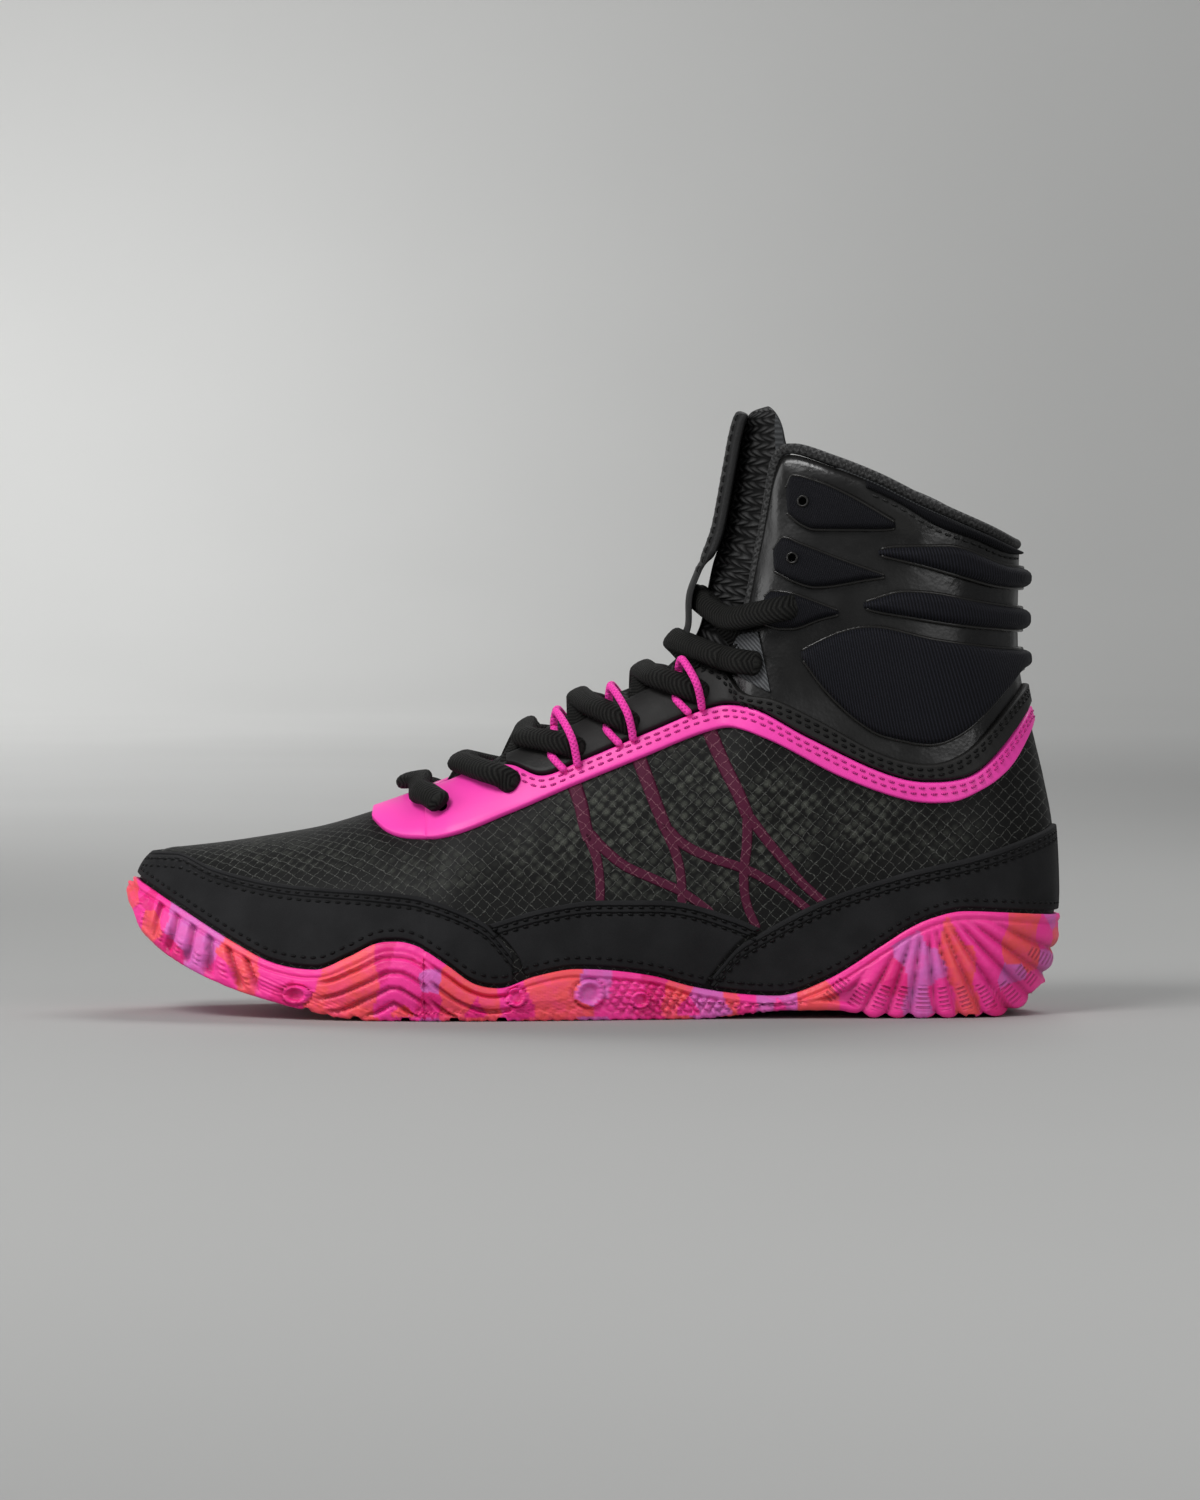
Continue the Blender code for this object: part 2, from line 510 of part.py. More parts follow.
def tongue_frame(share):
    """Front line of the tongue and its forward normal at shares of the way up."""
    times = np.linspace(0, 1, len(TONGUE))
    columns = np.array(TONGUE).T

    def place(at):
        along, height = smooth_curve(times, columns[0], at), smooth_curve(times, columns[1], at)
        sway = np.full(along.shape, -MIDDLE_SWAY * BALL_WIDTH)
        return np.stack([(along - MIDDLE_ALONG) * LENGTH, sway, height * COLLAR_HEIGHT], axis=-1)

    share = np.asarray(share, float)
    step = 0.01
    way = place(np.minimum(share + step, 1)) - place(np.maximum(share - step, 0))
    way = way / np.linalg.norm(way, axis=-1, keepdims=True)
    forward = np.stack([-way[..., 2], 0 * share, way[..., 0]], axis=-1)
    return place(share), forward, [smooth_curve(times, column, share) for column in columns[2:]]


def make_tongue(finish):
    """Padded sheet whose sides wrap back from its middle by the square of their distance."""
    share = np.linspace(0, 1, 15)
    front_line, forward, (width, wrap, padding) = tongue_frame(share)
    across = np.linspace(-1, 1, 9)[None, :, None]
    back_way = -forward[:, None]
    wrap = wrap[:, None, None] * TONGUE_WIDTH
    front = front_line[:, None] + back_way * wrap * across ** 2
    front = front + np.array([0, 1, 0]) * across * width[:, None, None] * TONGUE_WIDTH / 2
    depth = padding[:, None, None] * TONGUE_PAD * (1 - 0.75 * across ** 4)
    inward = back_way - np.array([0, 1, 0]) * across * 0.6
    back = front + inward * depth
    slab("tongue", finish, front, back)


def make_cover(finish):
    """Strap that hangs before the tongue, over the last lace, and thickens to a flap."""
    times, stand, growth = np.array(COVER).T
    front_line, forward, _ = tongue_frame(times)
    room = LACE_THICKNESS + LACE_GAP + FIT_GAP
    back_line = front_line + forward * (FIT_GAP + stand * room)[:, None]
    thickness = COVER_STRAP + (COVER_FLAP - COVER_STRAP) * growth
    across = np.linspace(-1, 1, 5)[None, :, None]
    sideways = np.array([0, 1, 0]) * across * COVER_WIDTH / 2
    back = back_line[:, None] + sideways - forward[:, None] * 0.0008 * across ** 2
    front = back + (forward * thickness[:, None])[:, None] * (1 - 0.2 * across ** 2)
    slab("lace_cover", finish, front, back)


def lace_lift(number):
    """Height of a lace's middle over the skin at an eyelet: over the tab or over the eyestay."""
    under = FIN_THICKNESS if number == len(EYELETS) - 1 else FACING_THICKNESS
    return OVERLAY_GAP + under + LACE_GAP + LACE_THICKNESS / 2


def on_skin(station, climb, side, lift):
    """Place over the skin and the skin's outward direction there."""
    place = lifted(station, climb, side, lift)
    return place, (place - skin(station, climb, side)) / lift


def edge_station(height):
    """Station at which the edge of the throat or of the shaft's front stands at a height."""
    rising = np.linspace(STATIONS[10], STATIONS[20], 400)
    return np.interp(height, section("top_height", rising), rising)


def lace_half(number, toward, side, over_lift):
    """A strand's way from its eyelet over the throat's edge, headed for another eyelet."""
    along, height, edge_height = EYELETS[number]
    station, climb = station_at(along, height)
    over = edge_station(edge_height + (EYELETS[toward][2] - edge_height) * 0.3)
    edge_place = skin(over, 1.0, side)
    between = station_at((along + edge_place[0] / LENGTH + MIDDLE_ALONG) / 2,
                         (height + edge_place[2] / COLLAR_HEIGHT) / 2)
    lift = lace_lift(number) + over_lift
    return [on_skin(station, climb, side, lift), on_skin(*between, side, lift),
            on_skin(over, 1.0, side, lift)]


def lace_strand(name, first, crest, second):
    """Flat lace from one eyelet over a crest to another, closed at both ends."""
    knots = first + [crest] + second[::-1]
    times = np.linspace(0, 1, len(knots))
    middle = len(knots) // 2
    bends = (times[middle - 1:middle + 1] + times[middle:middle + 2]) / 2
    at = np.sort(np.concatenate([times, bends]))
    path, flat_way = [np.stack([smooth_curve(times, np.array(values)[:, axis], at)
                                for axis in range(3)], axis=1) for values in zip(*knots)]
    way = np.gradient(path, axis=0)
    way = way / np.linalg.norm(way, axis=1, keepdims=True)
    across = np.cross(way, flat_way)
    across = across / np.linalg.norm(across, axis=1, keepdims=True)
    up = np.cross(across, way)
    turn = (np.linspace(0, 2 * math.pi, 5) + math.pi / 4)[None, :, None]
    corner = 1.3
    ring = across[:, None] * np.cos(turn) * LACE_WIDTH / 2
    ring = (ring + up[:, None] * np.sin(turn) * LACE_THICKNESS / 2) * corner
    middle = np.concatenate([path[:1], path, path[-1:]])[:, None]
    grid = middle + np.concatenate([ring[:1] * 0, ring, ring[:1] * 0])
    mesh = grid_mesh(name, [(grid, False)])
    turn_outwards(mesh)
    return mesh


def make_laces(finish):
    """Front bar and crossings, each pair of strands crossing on the tongue, joined to one body."""
    bar_height = line_height(BAND_TOP, (FRONT_BAR_ALONG - MIDDLE_ALONG) * LENGTH) / COLLAR_HEIGHT
    bar_station, _ = station_at(FRONT_BAR_ALONG, bar_height)
    lift = lace_lift(0) * FRONT_BAR_LIFT
    crest = on_skin(bar_station, 1.0, OUTER, lift)
    station, climb = station_at(*EYELETS[0][:2])
    share = np.arange(5) / 5
    stations = station + (bar_station - station) * share
    arc = arc_of(np.array(station), climb)
    climbs = climb_at(stations, arc + (1 - arc) * share)
    halves = [[on_skin(*place, side, lift) for place in zip(stations, climbs)]
              for side in (OUTER, INNER)]
    meshes = [lace_strand("laces", halves[0], crest, halves[1])]
    for number, (share, stand) in enumerate(CROSSINGS):
        front, forward, _ = tongue_frame(share)
        for side, over in ((OUTER, 0.0), (INNER, LACE_STEP)):
            crest = (front + forward * (LACE_GAP * stand + LACE_THICKNESS / 2 + over), forward)
            meshes.append(lace_strand("lace_strand", lace_half(number, number + 1, side, over), crest,
                                      lace_half(number + 1, number, -side, over)))
    laces = add_object("laces", meshes[0], finish)
    strands = fresh_collection("lace_strands")
    for number, mesh in enumerate(meshes[1:]):
        strand = add_object(f"lace_strand_{number}", mesh, None, strands)
        hide(strand)
    join = laces.modifiers.new("joined", "BOOLEAN")
    join.operation = "UNION"
    join.operand_type = "COLLECTION"
    join.collection = strands


def hide(guide):
    guide.hide_render = True
    guide.display_type = "WIRE"


def make_tube(name, finish, points, radius, roundness=1):
    curve = bpy.data.curves.new(name, "CURVE")
    curve.dimensions = "3D"
    curve.bevel_depth = radius
    curve.bevel_resolution = roundness
    curve.use_fill_caps = True
    spline = curve.splines.new("POLY")
    spline.points.add(len(points) - 1)
    for knot, point in zip(spline.points, points):
        knot.co = (*point, 1)
    return add_object(name, curve, finish)


def make_loops(finish):
    """Bungee loops that hold the lace at the middle eyelets of both sides."""
    path = np.array(LOOP_PATH).T
    knots = np.linspace(0, 1, len(LOOP_PATH))
    times = np.linspace(0, 1, 8)
    along, height, over = [smooth_curve(knots, column, times) for column in path]
    low = OVERLAY_GAP + FACING_THICKNESS + FIT_GAP + LOOP_RADIUS
    high = low + LACE_THICKNESS + LACE_STEP + 2 * LACE_GAP
    for side, word in ((OUTER, "lateral"), (INNER, "medial")):
        for order, number in enumerate(LOOPED_EYELETS):
            eyelet = EYELETS[number]
            places = [station_at(eyelet[0] + a, eyelet[1] + h) for a, h in zip(along, height)]
            station, climb = np.array(places).T
            points = lifted(station, climb, side, low + (high - low) * over)
            make_tube(f"lace_loop_{word}_{order + 1}", finish, points, LOOP_RADIUS)


def make_piping(finish):
    """Cord along the wall's top edge, up the shaft's front, round the collar and down again."""
    first = station_at(*PIPING_START)[0]
    columns = columns_between(first, 1.0)
    halves = []
    for side in (OUTER, INNER):
        edge_line = skin(columns, 1.0 + 0 * columns, side)
        rib = edge_line - skin(columns, 0.97 + 0 * columns, side)
        along = np.gradient(edge_line, axis=0)
        along = along / np.linalg.norm(along, axis=1, keepdims=True)
        away = rib - along * np.sum(rib * along, axis=1, keepdims=True)
        away = away / np.linalg.norm(away, axis=1, keepdims=True)
        inner = lifted(columns, 1.0 + 0 * columns, side, np.full(len(columns), -UPPER_WALL / 2))
        halves.append(inner + away * (PIPING_RADIUS + OVERLAY_GAP))
    points = np.concatenate([halves[0], halves[1][-2::-1]])
    make_tube("collar_piping", finish, points, PIPING_RADIUS, roundness=0)


def punched(piece, along, height, side):
    """Cuts a round lace hole along the skin's normal."""
    station, climb = station_at(along, height)
    base = skin(station, climb, side)
    way = lifted(station, climb, side, 1.0) - base
    shape = bmesh.new()
    bmesh.ops.create_cone(shape, cap_ends=True, segments=10, radius1=HOLE_RADIUS,
                          radius2=HOLE_RADIUS, depth=4 * FIN_THICKNESS)
    mesh = bpy.data.meshes.new("hole")
    shape.to_mesh(mesh)
    shape.free()
    cutter = add_object(piece.name + "_hole", mesh, None, GUIDES)
    cutter.location = base
    cutter.rotation_mode = "QUATERNION"
    cutter.rotation_quaternion = mathutils.Vector(way).to_track_quat("Z", "Y")
    hide(cutter)
    cut = piece.modifiers.new("hole", "BOOLEAN")
    cut.operation = "DIFFERENCE"
    cut.object = cutter


def make_fins(finish):
    for order, (top, bottom, hole) in enumerate(FINS):
        front = np.mean([top[0], bottom[0]], axis=0)
        back = np.mean([top[-1], bottom[-1]], axis=0)
        columns = columns_between(station_at(*front)[0], station_at(*back)[0])
        for side, word in ((OUTER, "lateral"), (INNER, "medial")):
            fin = panel(f"fin_{order + 1}_{word}", finish, columns, edge(bottom), edge(top), 2,
                        FIN_THICKNESS, sides=(side,))
            punched(fin, *hole, side)


def first_column(line, extra=0.0):
    return station_at(line[0][0] + extra, line[0][1])[0]


def make_rands(finish):
    wave = edge(SOLE_WAVE, 2 * RIM_GAP)

    def mid_low(columns, side):
        return np.maximum(wave(columns, side), climb_of(MID_RAND_ENDS, columns, side))

    toe_end = station_at(*TOE_RAND_END)[0]
    panel("toe_rand", finish, columns_between(0, toe_end), wave, edge(TOE_RAND_TOP), 5,
          RAND_THICKNESS)
    columns = columns_between(station_at(*MID_RAND_START)[0], station_at(*MID_RAND_END)[0])
    for side, word in ((OUTER, "lateral"), (INNER, "medial")):
        panel(f"mid_rand_{word}", finish, columns, mid_low, edge(MID_RAND_TOP), 2, RAND_THICKNESS,
              sides=(side,))
    heel_start = station_at(*HEEL_RAND_START)[0]
    panel("heel_rand", finish, columns_between(heel_start, 1), wave, edge(HEEL_RAND_TOP), 2,
          RAND_THICKNESS)


def make_overlays(film, dark, fabric, mesh_cloth):
    panel("pink_band", film, columns_between(station_at(*BAND_START)[0], 1), edge(BAND_BOTTOM),
          edge(BAND_TOP), 4, BAND_THICKNESS, lift=BAND_GAP)
    panel("eyestay", dark, columns_between(station_at(*EYESTAY_START)[0], 1),
          edge(BAND_TOP, 1.2 * FIT_GAP), edge(ANKLE_SEAM), 2, FACING_THICKNESS)
    panel("ankle_pad", fabric, columns_between(first_column(PAD_TOP, PAD_INSET), 1), edge(PAD_BOTTOM),
          edge(PAD_TOP), 2, PAD_THICKNESS)
    panel("rib_low", fabric, columns_between(first_column(RIB_LOW_TOP, RIB_INSET), 1),
          edge(RIB_LOW_BOTTOM), edge(RIB_LOW_TOP), 1, RIB_THICKNESS)
    panel("rib_high", fabric, columns_between(first_column(RIB_HIGH_TOP, RIB_INSET), 1),
          edge(RIB_HIGH_BOTTOM), edge(RIB_HIGH_TOP), 1, RIB_THICKNESS)
    panel("collar_cuff", mesh_cloth, columns_between(first_column(CUFF_BOTTOM), 1),
          edge(CUFF_BOTTOM), top_edge, 1, CUFF_THICKNESS)


def build():
    quarter = material("quarter_fabric", (0.02, 0.02, 0.022), 0.5)
    rubber = material("sole_rubber", (0.9, 0.1, 0.3), 0.5)
    lining = material("insole_fabric", (0.05, 0.05, 0.055), 0.9)
    suede = material("rand_microfibre", (0.05, 0.05, 0.055), 0.95)
    film = material("pink_film", (1.0, 0.08, 0.45), 0.45)
    dark = material("eyestay_leather", (0.015, 0.015, 0.017), 0.4)
    fabric = material("pad_fabric", (0.03, 0.03, 0.033), 0.8)
    mesh_cloth = material("tongue_mesh", (0.02, 0.02, 0.02), 0.9)
    cord = material("piping_cord", (0.12, 0.12, 0.125), 0.8)
    lace = material("lace_weave", (0.02, 0.02, 0.022), 0.9)
    flap = material("cover_leather", (0.015, 0.015, 0.015), 0.45)
    bungee = material("bungee_cord", (1.0, 0.1, 0.45), 0.6)
    make_outsole(rubber)
    make_upper(quarter)
    make_insole(lining)
    make_rands(suede)
    make_overlays(film, dark, fabric, mesh_cloth)
    make_fins(fabric)
    make_piping(cord)
    make_tongue(mesh_cloth)
    make_cover(flap)
    make_laces(lace)
    make_loops(bungee)


def fresh_collection(name):
    group = bpy.data.collections.new(name)
    bpy.context.scene.collection.children.link(group)
    return group


for leftover in list(bpy.data.objects):
    bpy.data.objects.remove(leftover, do_unlink=True)
SHOE = fresh_collection("wrestling_shoe")
GUIDES = fresh_collection("cutters")
build()
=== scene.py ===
"""Looks of a high lace-up wrestling shoe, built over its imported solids.

The toe points along -X, the outer side faces -Y, and +Z is up. Every layer of the upper is a surface
over one skin, a function of a station (0 at the toe, 1 at the back of the heel) and a climb (0 at
the feather edge, 1 at the top edge).
"""

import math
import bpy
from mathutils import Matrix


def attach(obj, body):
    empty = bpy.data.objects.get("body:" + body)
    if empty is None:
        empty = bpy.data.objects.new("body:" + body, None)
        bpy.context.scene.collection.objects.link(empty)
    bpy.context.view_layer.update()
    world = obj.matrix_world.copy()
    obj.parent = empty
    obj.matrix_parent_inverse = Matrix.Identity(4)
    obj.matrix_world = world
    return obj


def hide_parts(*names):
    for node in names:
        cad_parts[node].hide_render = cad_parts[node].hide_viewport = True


bl_info = {
    "name": "Wrestling Shoe",
    "version": (1, 0, 0),
    "blender": (4, 5, 0),
    "location": "View3D > Sidebar > Shoe",
    "description": "Builds the cloth, film, rubber, padding and laces of a wrestling shoe",
    "category": "Object",
}

import bmesh
import bpy
import numpy as np
from bpy.props import FloatProperty, FloatVectorProperty, IntProperty, PointerProperty
from mathutils import Vector

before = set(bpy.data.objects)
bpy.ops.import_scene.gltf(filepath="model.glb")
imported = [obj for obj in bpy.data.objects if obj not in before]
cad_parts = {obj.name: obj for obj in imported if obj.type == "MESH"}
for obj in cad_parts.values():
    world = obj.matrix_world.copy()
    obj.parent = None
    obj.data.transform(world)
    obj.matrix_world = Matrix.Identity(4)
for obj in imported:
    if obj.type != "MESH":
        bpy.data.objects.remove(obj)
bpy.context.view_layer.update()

# Sizes of the solids, in metres; the two middles are shares of the length and the ball width
LENGTH = 0.285
BALL_WIDTH = 0.0915
COLLAR_HEIGHT = 0.1717
MIDDLE_ALONG = 0.4952
MIDDLE_SWAY = -0.0099
UPPER_WALL = 0.0022
FIT_GAP = 0.0003
RIM_GAP = 0.0005
SOLE_SIDE = 0.0034
SOLE_RIM = 0.0014
TONGUE_WIDTH = 0.046
TONGUE_PAD = 0.0055

# The picture's side view, in pixels: the toe's tip, the floor, the shoe's length, the collar's
# height and the middle of the picture
TOE_PIXEL = 128.0
FLOOR_PIXEL = 1012.0
PIXELS_LONG = 938.0
PIXELS_HIGH = 565.0
PICTURE_MIDDLE = (600.0, 750.0)
MM = 0.001
PIXELS_PER_MM = PIXELS_LONG / LENGTH * MM
WELD = 4e-6  # corners closer than this are made one
SUNK = -0.0003  # where the lower face of a layer lies, below the skin

OUTER = -1
INNER = 1
SIDES = ((OUTER, "lateral"), (INNER, "medial"))

# Ribs of the upper from toe to heel: places as shares of the length, the collar's height and the
# ball width, then the numbers that shape a rib in skin()
SECTION_COLUMNS = ("foot_along", "foot_height", "top_along", "top_height", "outer", "inner", "sway",
                   "open", "power", "belly", "dome", "hook")
SECTIONS = (
    (0.010, 0.214, 0.055, 0.291, 0.000, 0.000, 0.077, 0.00, 2.2, 0.00, 1.00, 0.00),
    (0.015, 0.193, 0.055, 0.291, 0.098, 0.098, 0.077, 0.00, 2.2, 0.00, 0.95, 0.00),
    (0.026, 0.170, 0.055, 0.291, 0.164, 0.164, 0.077, 0.00, 2.2, 0.00, 0.85, 0.00),
    (0.047, 0.138, 0.055, 0.291, 0.246, 0.230, 0.077, 0.00, 2.2, 0.00, 0.60, 0.00),
    (0.080, 0.108, 0.103, 0.300, 0.333, 0.295, 0.068, 0.00, 2.2, 0.00, 0.30, 0.00),
    (0.125, 0.078, 0.154, 0.313, 0.404, 0.350, 0.055, 0.00, 2.2, 0.00, 0.10, 0.00),
    (0.183, 0.051, 0.207, 0.329, 0.464, 0.404, 0.038, 0.00, 2.2, 0.00, 0.00, 0.00),
    (0.242, 0.035, 0.258, 0.354, 0.503, 0.448, 0.024, 0.00, 2.1, 0.00, 0.00, 0.00),
    (0.295, 0.028, 0.301, 0.379, 0.519, 0.470, 0.017, 0.00, 2.0, 0.00, 0.00, 0.00),
    (0.317, 0.027, 0.320, 0.391, 0.522, 0.472, 0.015, 0.00, 2.0, 0.00, 0.00, 0.00),
    (0.323, 0.027, 0.326, 0.396, 0.523, 0.473, 0.014, 0.09, 2.0, 0.00, 0.00, 0.00),
    (0.343, 0.025, 0.342, 0.407, 0.525, 0.472, 0.013, 0.17, 2.0, 0.00, 0.00, 0.00),
    (0.375, 0.025, 0.375, 0.430, 0.519, 0.461, 0.011, 0.25, 1.9, 0.00, 0.00, 0.00),
    (0.423, 0.025, 0.424, 0.465, 0.503, 0.437, 0.011, 0.31, 1.8, 0.00, 0.00, 0.00),
    (0.482, 0.027, 0.493, 0.517, 0.475, 0.404, 0.013, 0.35, 1.8, 0.00, 0.00, 0.00),
    (0.541, 0.028, 0.562, 0.573, 0.443, 0.372, 0.015, 0.41, 1.9, 0.01, 0.00, 0.00),
    (0.583, 0.028, 0.617, 0.614, 0.421, 0.350, 0.017, 0.49, 2.1, 0.02, 0.00, 0.00),
    (0.615, 0.028, 0.650, 0.667, 0.404, 0.339, 0.019, 0.57, 2.3, 0.03, 0.00, 0.00),
    (0.665, 0.028, 0.672, 0.818, 0.388, 0.330, 0.019, 0.63, 2.7, 0.05, 0.00, 0.00),
    (0.716, 0.030, 0.690, 0.963, 0.377, 0.332, 0.015, 0.69, 2.8, 0.05, 0.00, 0.00),
    (0.742, 0.034, 0.706, 0.986, 0.372, 0.337, 0.013, 0.74, 2.8, 0.04, 0.00, 0.00),
    (0.783, 0.042, 0.746, 0.966, 0.361, 0.341, 0.009, 0.87, 2.8, 0.03, 0.00, 0.05),
    (0.828, 0.051, 0.793, 0.935, 0.350, 0.343, 0.003, 0.96, 2.5, 0.03, 0.00, 0.15),
    (0.876, 0.055, 0.839, 0.897, 0.333, 0.333, 0.000, 1.02, 2.2, 0.03, 0.00, 0.35),
    (0.914, 0.058, 0.878, 0.869, 0.290, 0.290, 0.000, 1.08, 2.2, 0.04, 0.00, 0.60),
    (0.940, 0.060, 0.914, 0.844, 0.213, 0.213, 0.000, 1.12, 2.2, 0.05, 0.00, 0.80),
    (0.958, 0.060, 0.940, 0.823, 0.115, 0.115, 0.000, 1.12, 2.2, 0.05, 0.00, 0.95),
    (0.965, 0.060, 0.950, 0.816, 0.000, 0.000, 0.000, 1.12, 2.2, 0.05, 0.00, 1.00),
)
SECTION = dict(zip(SECTION_COLUMNS, np.array(SECTIONS).T))
STATIONS = np.linspace(0.0, 1.0, len(SECTIONS))
# Steps of station over which a rib's opening is averaged
OPEN_BLUR = (-0.03, -0.02, -0.01, 0.0, 0.01, 0.02, 0.03)
# Back of the heel: climb, and how far it stands back as a share of the length
HEEL_CURVE = ((0.0, 0.0), (0.11, 0.0208), (0.23, 0.0272), (0.35, 0.0262), (0.47, 0.0182),
              (0.57, 0.0089), (0.66, 0.0006), (0.76, -0.0045), (0.9, -0.0025), (1.0, 0.0))

# Edges in the side view, in pixels of the picture: across, down
SOLE_WAVE = ((137, 878), (180, 903), (240, 938), (278, 956), (320, 962), (353, 950), (380, 937),
             (400, 935), (420, 939), (450, 957), (475, 974), (500, 979), (535, 968), (577, 961),
             (650, 968), (690, 979), (730, 986), (775, 989), (825, 973), (880, 939), (905, 923),
             (930, 912), (960, 906), (1000, 908), (1066, 914))
SOLE_BOTTOM = ((128, 896), (136, 922), (150, 939), (175, 957), (225, 980), (275, 995), (325, 1006),
               (375, 1012), (691, 1012), (785, 1004), (832, 1004), (878, 1012), (990, 1012),
               (1014, 1007), (1032, 996), (1048, 972))
TOE_RAND_TOP = ((165, 854), (182, 855), (216, 867), (280, 880), (388, 887), (428, 892), (476, 910),
                (490, 919), (522, 957))
MID_RAND_TOP = ((490, 917), (543, 902), (601, 894), (639, 894), (670, 895), (731, 911), (762, 924))
MID_RAND_ENDS = ((488, 915), (522, 954), (531, 978), (691, 995), (707, 971), (718, 957), (736, 937),
                 (756, 924))
HEEL_RAND_TOP = ((707, 974), (718, 961), (736, 941), (762, 925), (820, 895), (897, 869), (973, 851),
                 (1037, 830), (1060, 820))
BAND_BOTTOM = ((366, 811), (388, 829), (415, 835), (441, 834), (510, 810), (568, 785), (639, 756),
               (707, 729), (728, 725), (763, 735), (838, 773), (903, 796), (929, 799), (953, 797),
               (974, 788), (992, 777), (1009, 760), (1031, 722))
BAND_TOP = ((409, 796), (449, 783), (489, 767), (512, 765), (542, 774), (580, 760), (650, 730),
            (707, 707), (728, 703), (749, 705), (805, 734), (892, 773), (924, 778), (946, 777),
            (968, 771), (985, 758), (1013, 725), (1026, 706))
ANKLE_SEAM = ((653, 639), (728, 673), (740, 688), (772, 696), (816, 717), (881, 751), (924, 760),
              (946, 756), (968, 743), (1000, 708), (1024, 681))
PAD_TOP = ((796, 650), (836, 631), (867, 625), (932, 638), (1005, 648), (1026, 649))
PAD_BOTTOM = ((796, 651), (823, 688), (870, 728), (903, 738), (925, 741), (942, 738), (967, 723),
              (1000, 688), (1013, 672), (1026, 668))
RIB_HIGH_TOP = ((871, 550), (890, 546), (942, 545), (999, 564), (1026, 569))
RIB_HIGH_BOTTOM = ((871, 553), (913, 563), (951, 574), (990, 585), (1026, 589))
RIB_LOW_TOP = ((856, 602), (903, 590), (932, 592), (970, 600), (1026, 609))
RIB_LOW_BOTTOM = ((856, 605), (870, 609), (903, 615), (951, 623), (1026, 631))
CUFF_BOTTOM = ((855, 484), (894, 502), (932, 525), (970, 539), (1005, 553), (1026, 555))

# Lace tabs on the shaft: upper edge, lower edge, lace hole
FINS = (
    (((786, 487), (792, 476), (817, 482), (846, 495), (892, 522)),
     ((785, 512), (798, 523), (814, 529), (875, 529), (892, 528)), (803, 502)),
    (((774, 548), (783, 537), (798, 543), (856, 565), (882, 574)),
     ((773, 570), (794, 581), (813, 586), (867, 578), (882, 576)), (792, 558)),
    (((767, 595), (771, 590), (789, 592), (817, 602), (836, 609)),
     ((763, 622), (779, 627), (789, 627), (817, 618), (836, 613)), (784, 608)),
)
GUSSET_FRONT = ((733, 640), (740, 634), (748, 631), (757, 630))
GUSSET_BACK = ((738, 674), (752, 682), (762, 687), (769, 690))

# Straps below the mesh: half widths in millimetres at start and end, then their places
UNDER_STRAPS = (
    ((2.3, 1.9), ((573, 777), (581, 800), (585, 819), (590, 836))),
    ((2.3, 1.9), ((636, 749), (648, 780), (657, 804), (666, 826))),
    ((2.3, 1.9), ((706, 723), (722, 760), (736, 788), (747, 814))),
    ((1.6, 1.3), ((587, 828), (596, 850), (600, 876), (600, 903))),
    ((1.6, 1.3), ((588, 826), (602, 842), (624, 860), (650, 872), (682, 887), (712, 908))),
    ((1.6, 1.3), ((662, 818), (674, 846), (680, 872), (681, 908))),
    ((1.6, 1.3), ((665, 822), (682, 839), (708, 852), (738, 862), (760, 872), (784, 887), (815, 912))),
    ((1.6, 1.3), ((746, 808), (745, 840), (742, 870), (745, 898), (756, 925))),
    ((1.6, 1.3), ((746, 810), (763, 833), (780, 854), (801, 879), (832, 906))),
)
# Station at which the throat starts to open
THROAT_STATION = 0.33
# Where the knit below the mesh shows: place, half extents in pixels, strength
KNIT_PATCHES = (
    (600, 815, 60, 50, 1.0), (690, 800, 55, 60, 1.0), (645, 860, 60, 30, 0.8), (775, 820, 45, 55, 1.0),
    (860, 815, 40, 40, 0.7), (540, 850, 50, 35, 0.6), (440, 865, 60, 22, 0.45), (300, 852, 90, 16, 0.35),
    (930, 830, 50, 25, 0.35), (720, 880, 40, 20, 0.6),
)
# Creases of the cloth: from, to, half width in millimetres, depth in millimetres
CREASES = (
    ((868, 800), (905, 848), 5.0, 0.50), ((905, 795), (930, 836), 4.0, 0.40),
    ((935, 800), (962, 832), 4.5, -0.35), ((850, 770), (890, 812), 6.0, -0.40),
    ((430, 850), (500, 880), 8.0, 0.35), ((470, 845), (560, 872), 8.0, -0.35),
    ((520, 880), (640, 884), 7.0, 0.35), ((330, 842), (420, 860), 9.0, 0.30),
    ((784, 466), (852, 490), 3.0, -0.95), ((806, 458), (858, 480), 2.0, 0.80),
    ((830, 476), (900, 512), 2.6, -0.55),
    ((806, 650), (806, 700), 6.0, 0.30), ((776, 640), (790, 690), 5.0, 0.35),
    ((836, 540), (905, 536), 5.0, 0.25), ((760, 520), (778, 590), 4.0, 0.30),
    ((960, 700), (1000, 660), 6.0, 0.25), ((700, 840), (760, 900), 7.0, 0.3),
    ((990, 640), (1010, 600), 5.0, 0.25),
)

# The tongue's front: along, height, half width share, wrap share, padding share
TONGUE = (
    (0.306, 0.349, 0.39, 0.03, 0.35), (0.343, 0.393, 0.54, 0.07, 0.40),
    (0.386, 0.442, 0.65, 0.16, 0.50), (0.424, 0.481, 0.74, 0.23, 0.60),
    (0.482, 0.538, 0.78, 0.28, 0.70), (0.546, 0.582, 0.80, 0.29, 0.80),
    (0.580, 0.619, 0.80, 0.31, 0.90), (0.607, 0.673, 0.80, 0.40, 0.95),
    (0.617, 0.743, 0.83, 0.43, 1.00), (0.624, 0.796, 0.87, 0.42, 1.00),
    (0.635, 0.853, 0.90, 0.41, 1.00), (0.647, 0.959, 0.90, 0.37, 1.00),
    (0.654, 1.021, 0.86, 0.29, 1.00), (0.661, 1.055, 0.78, 0.24, 0.90),
    (0.676, 1.073, 0.56, 0.16, 0.70),
)
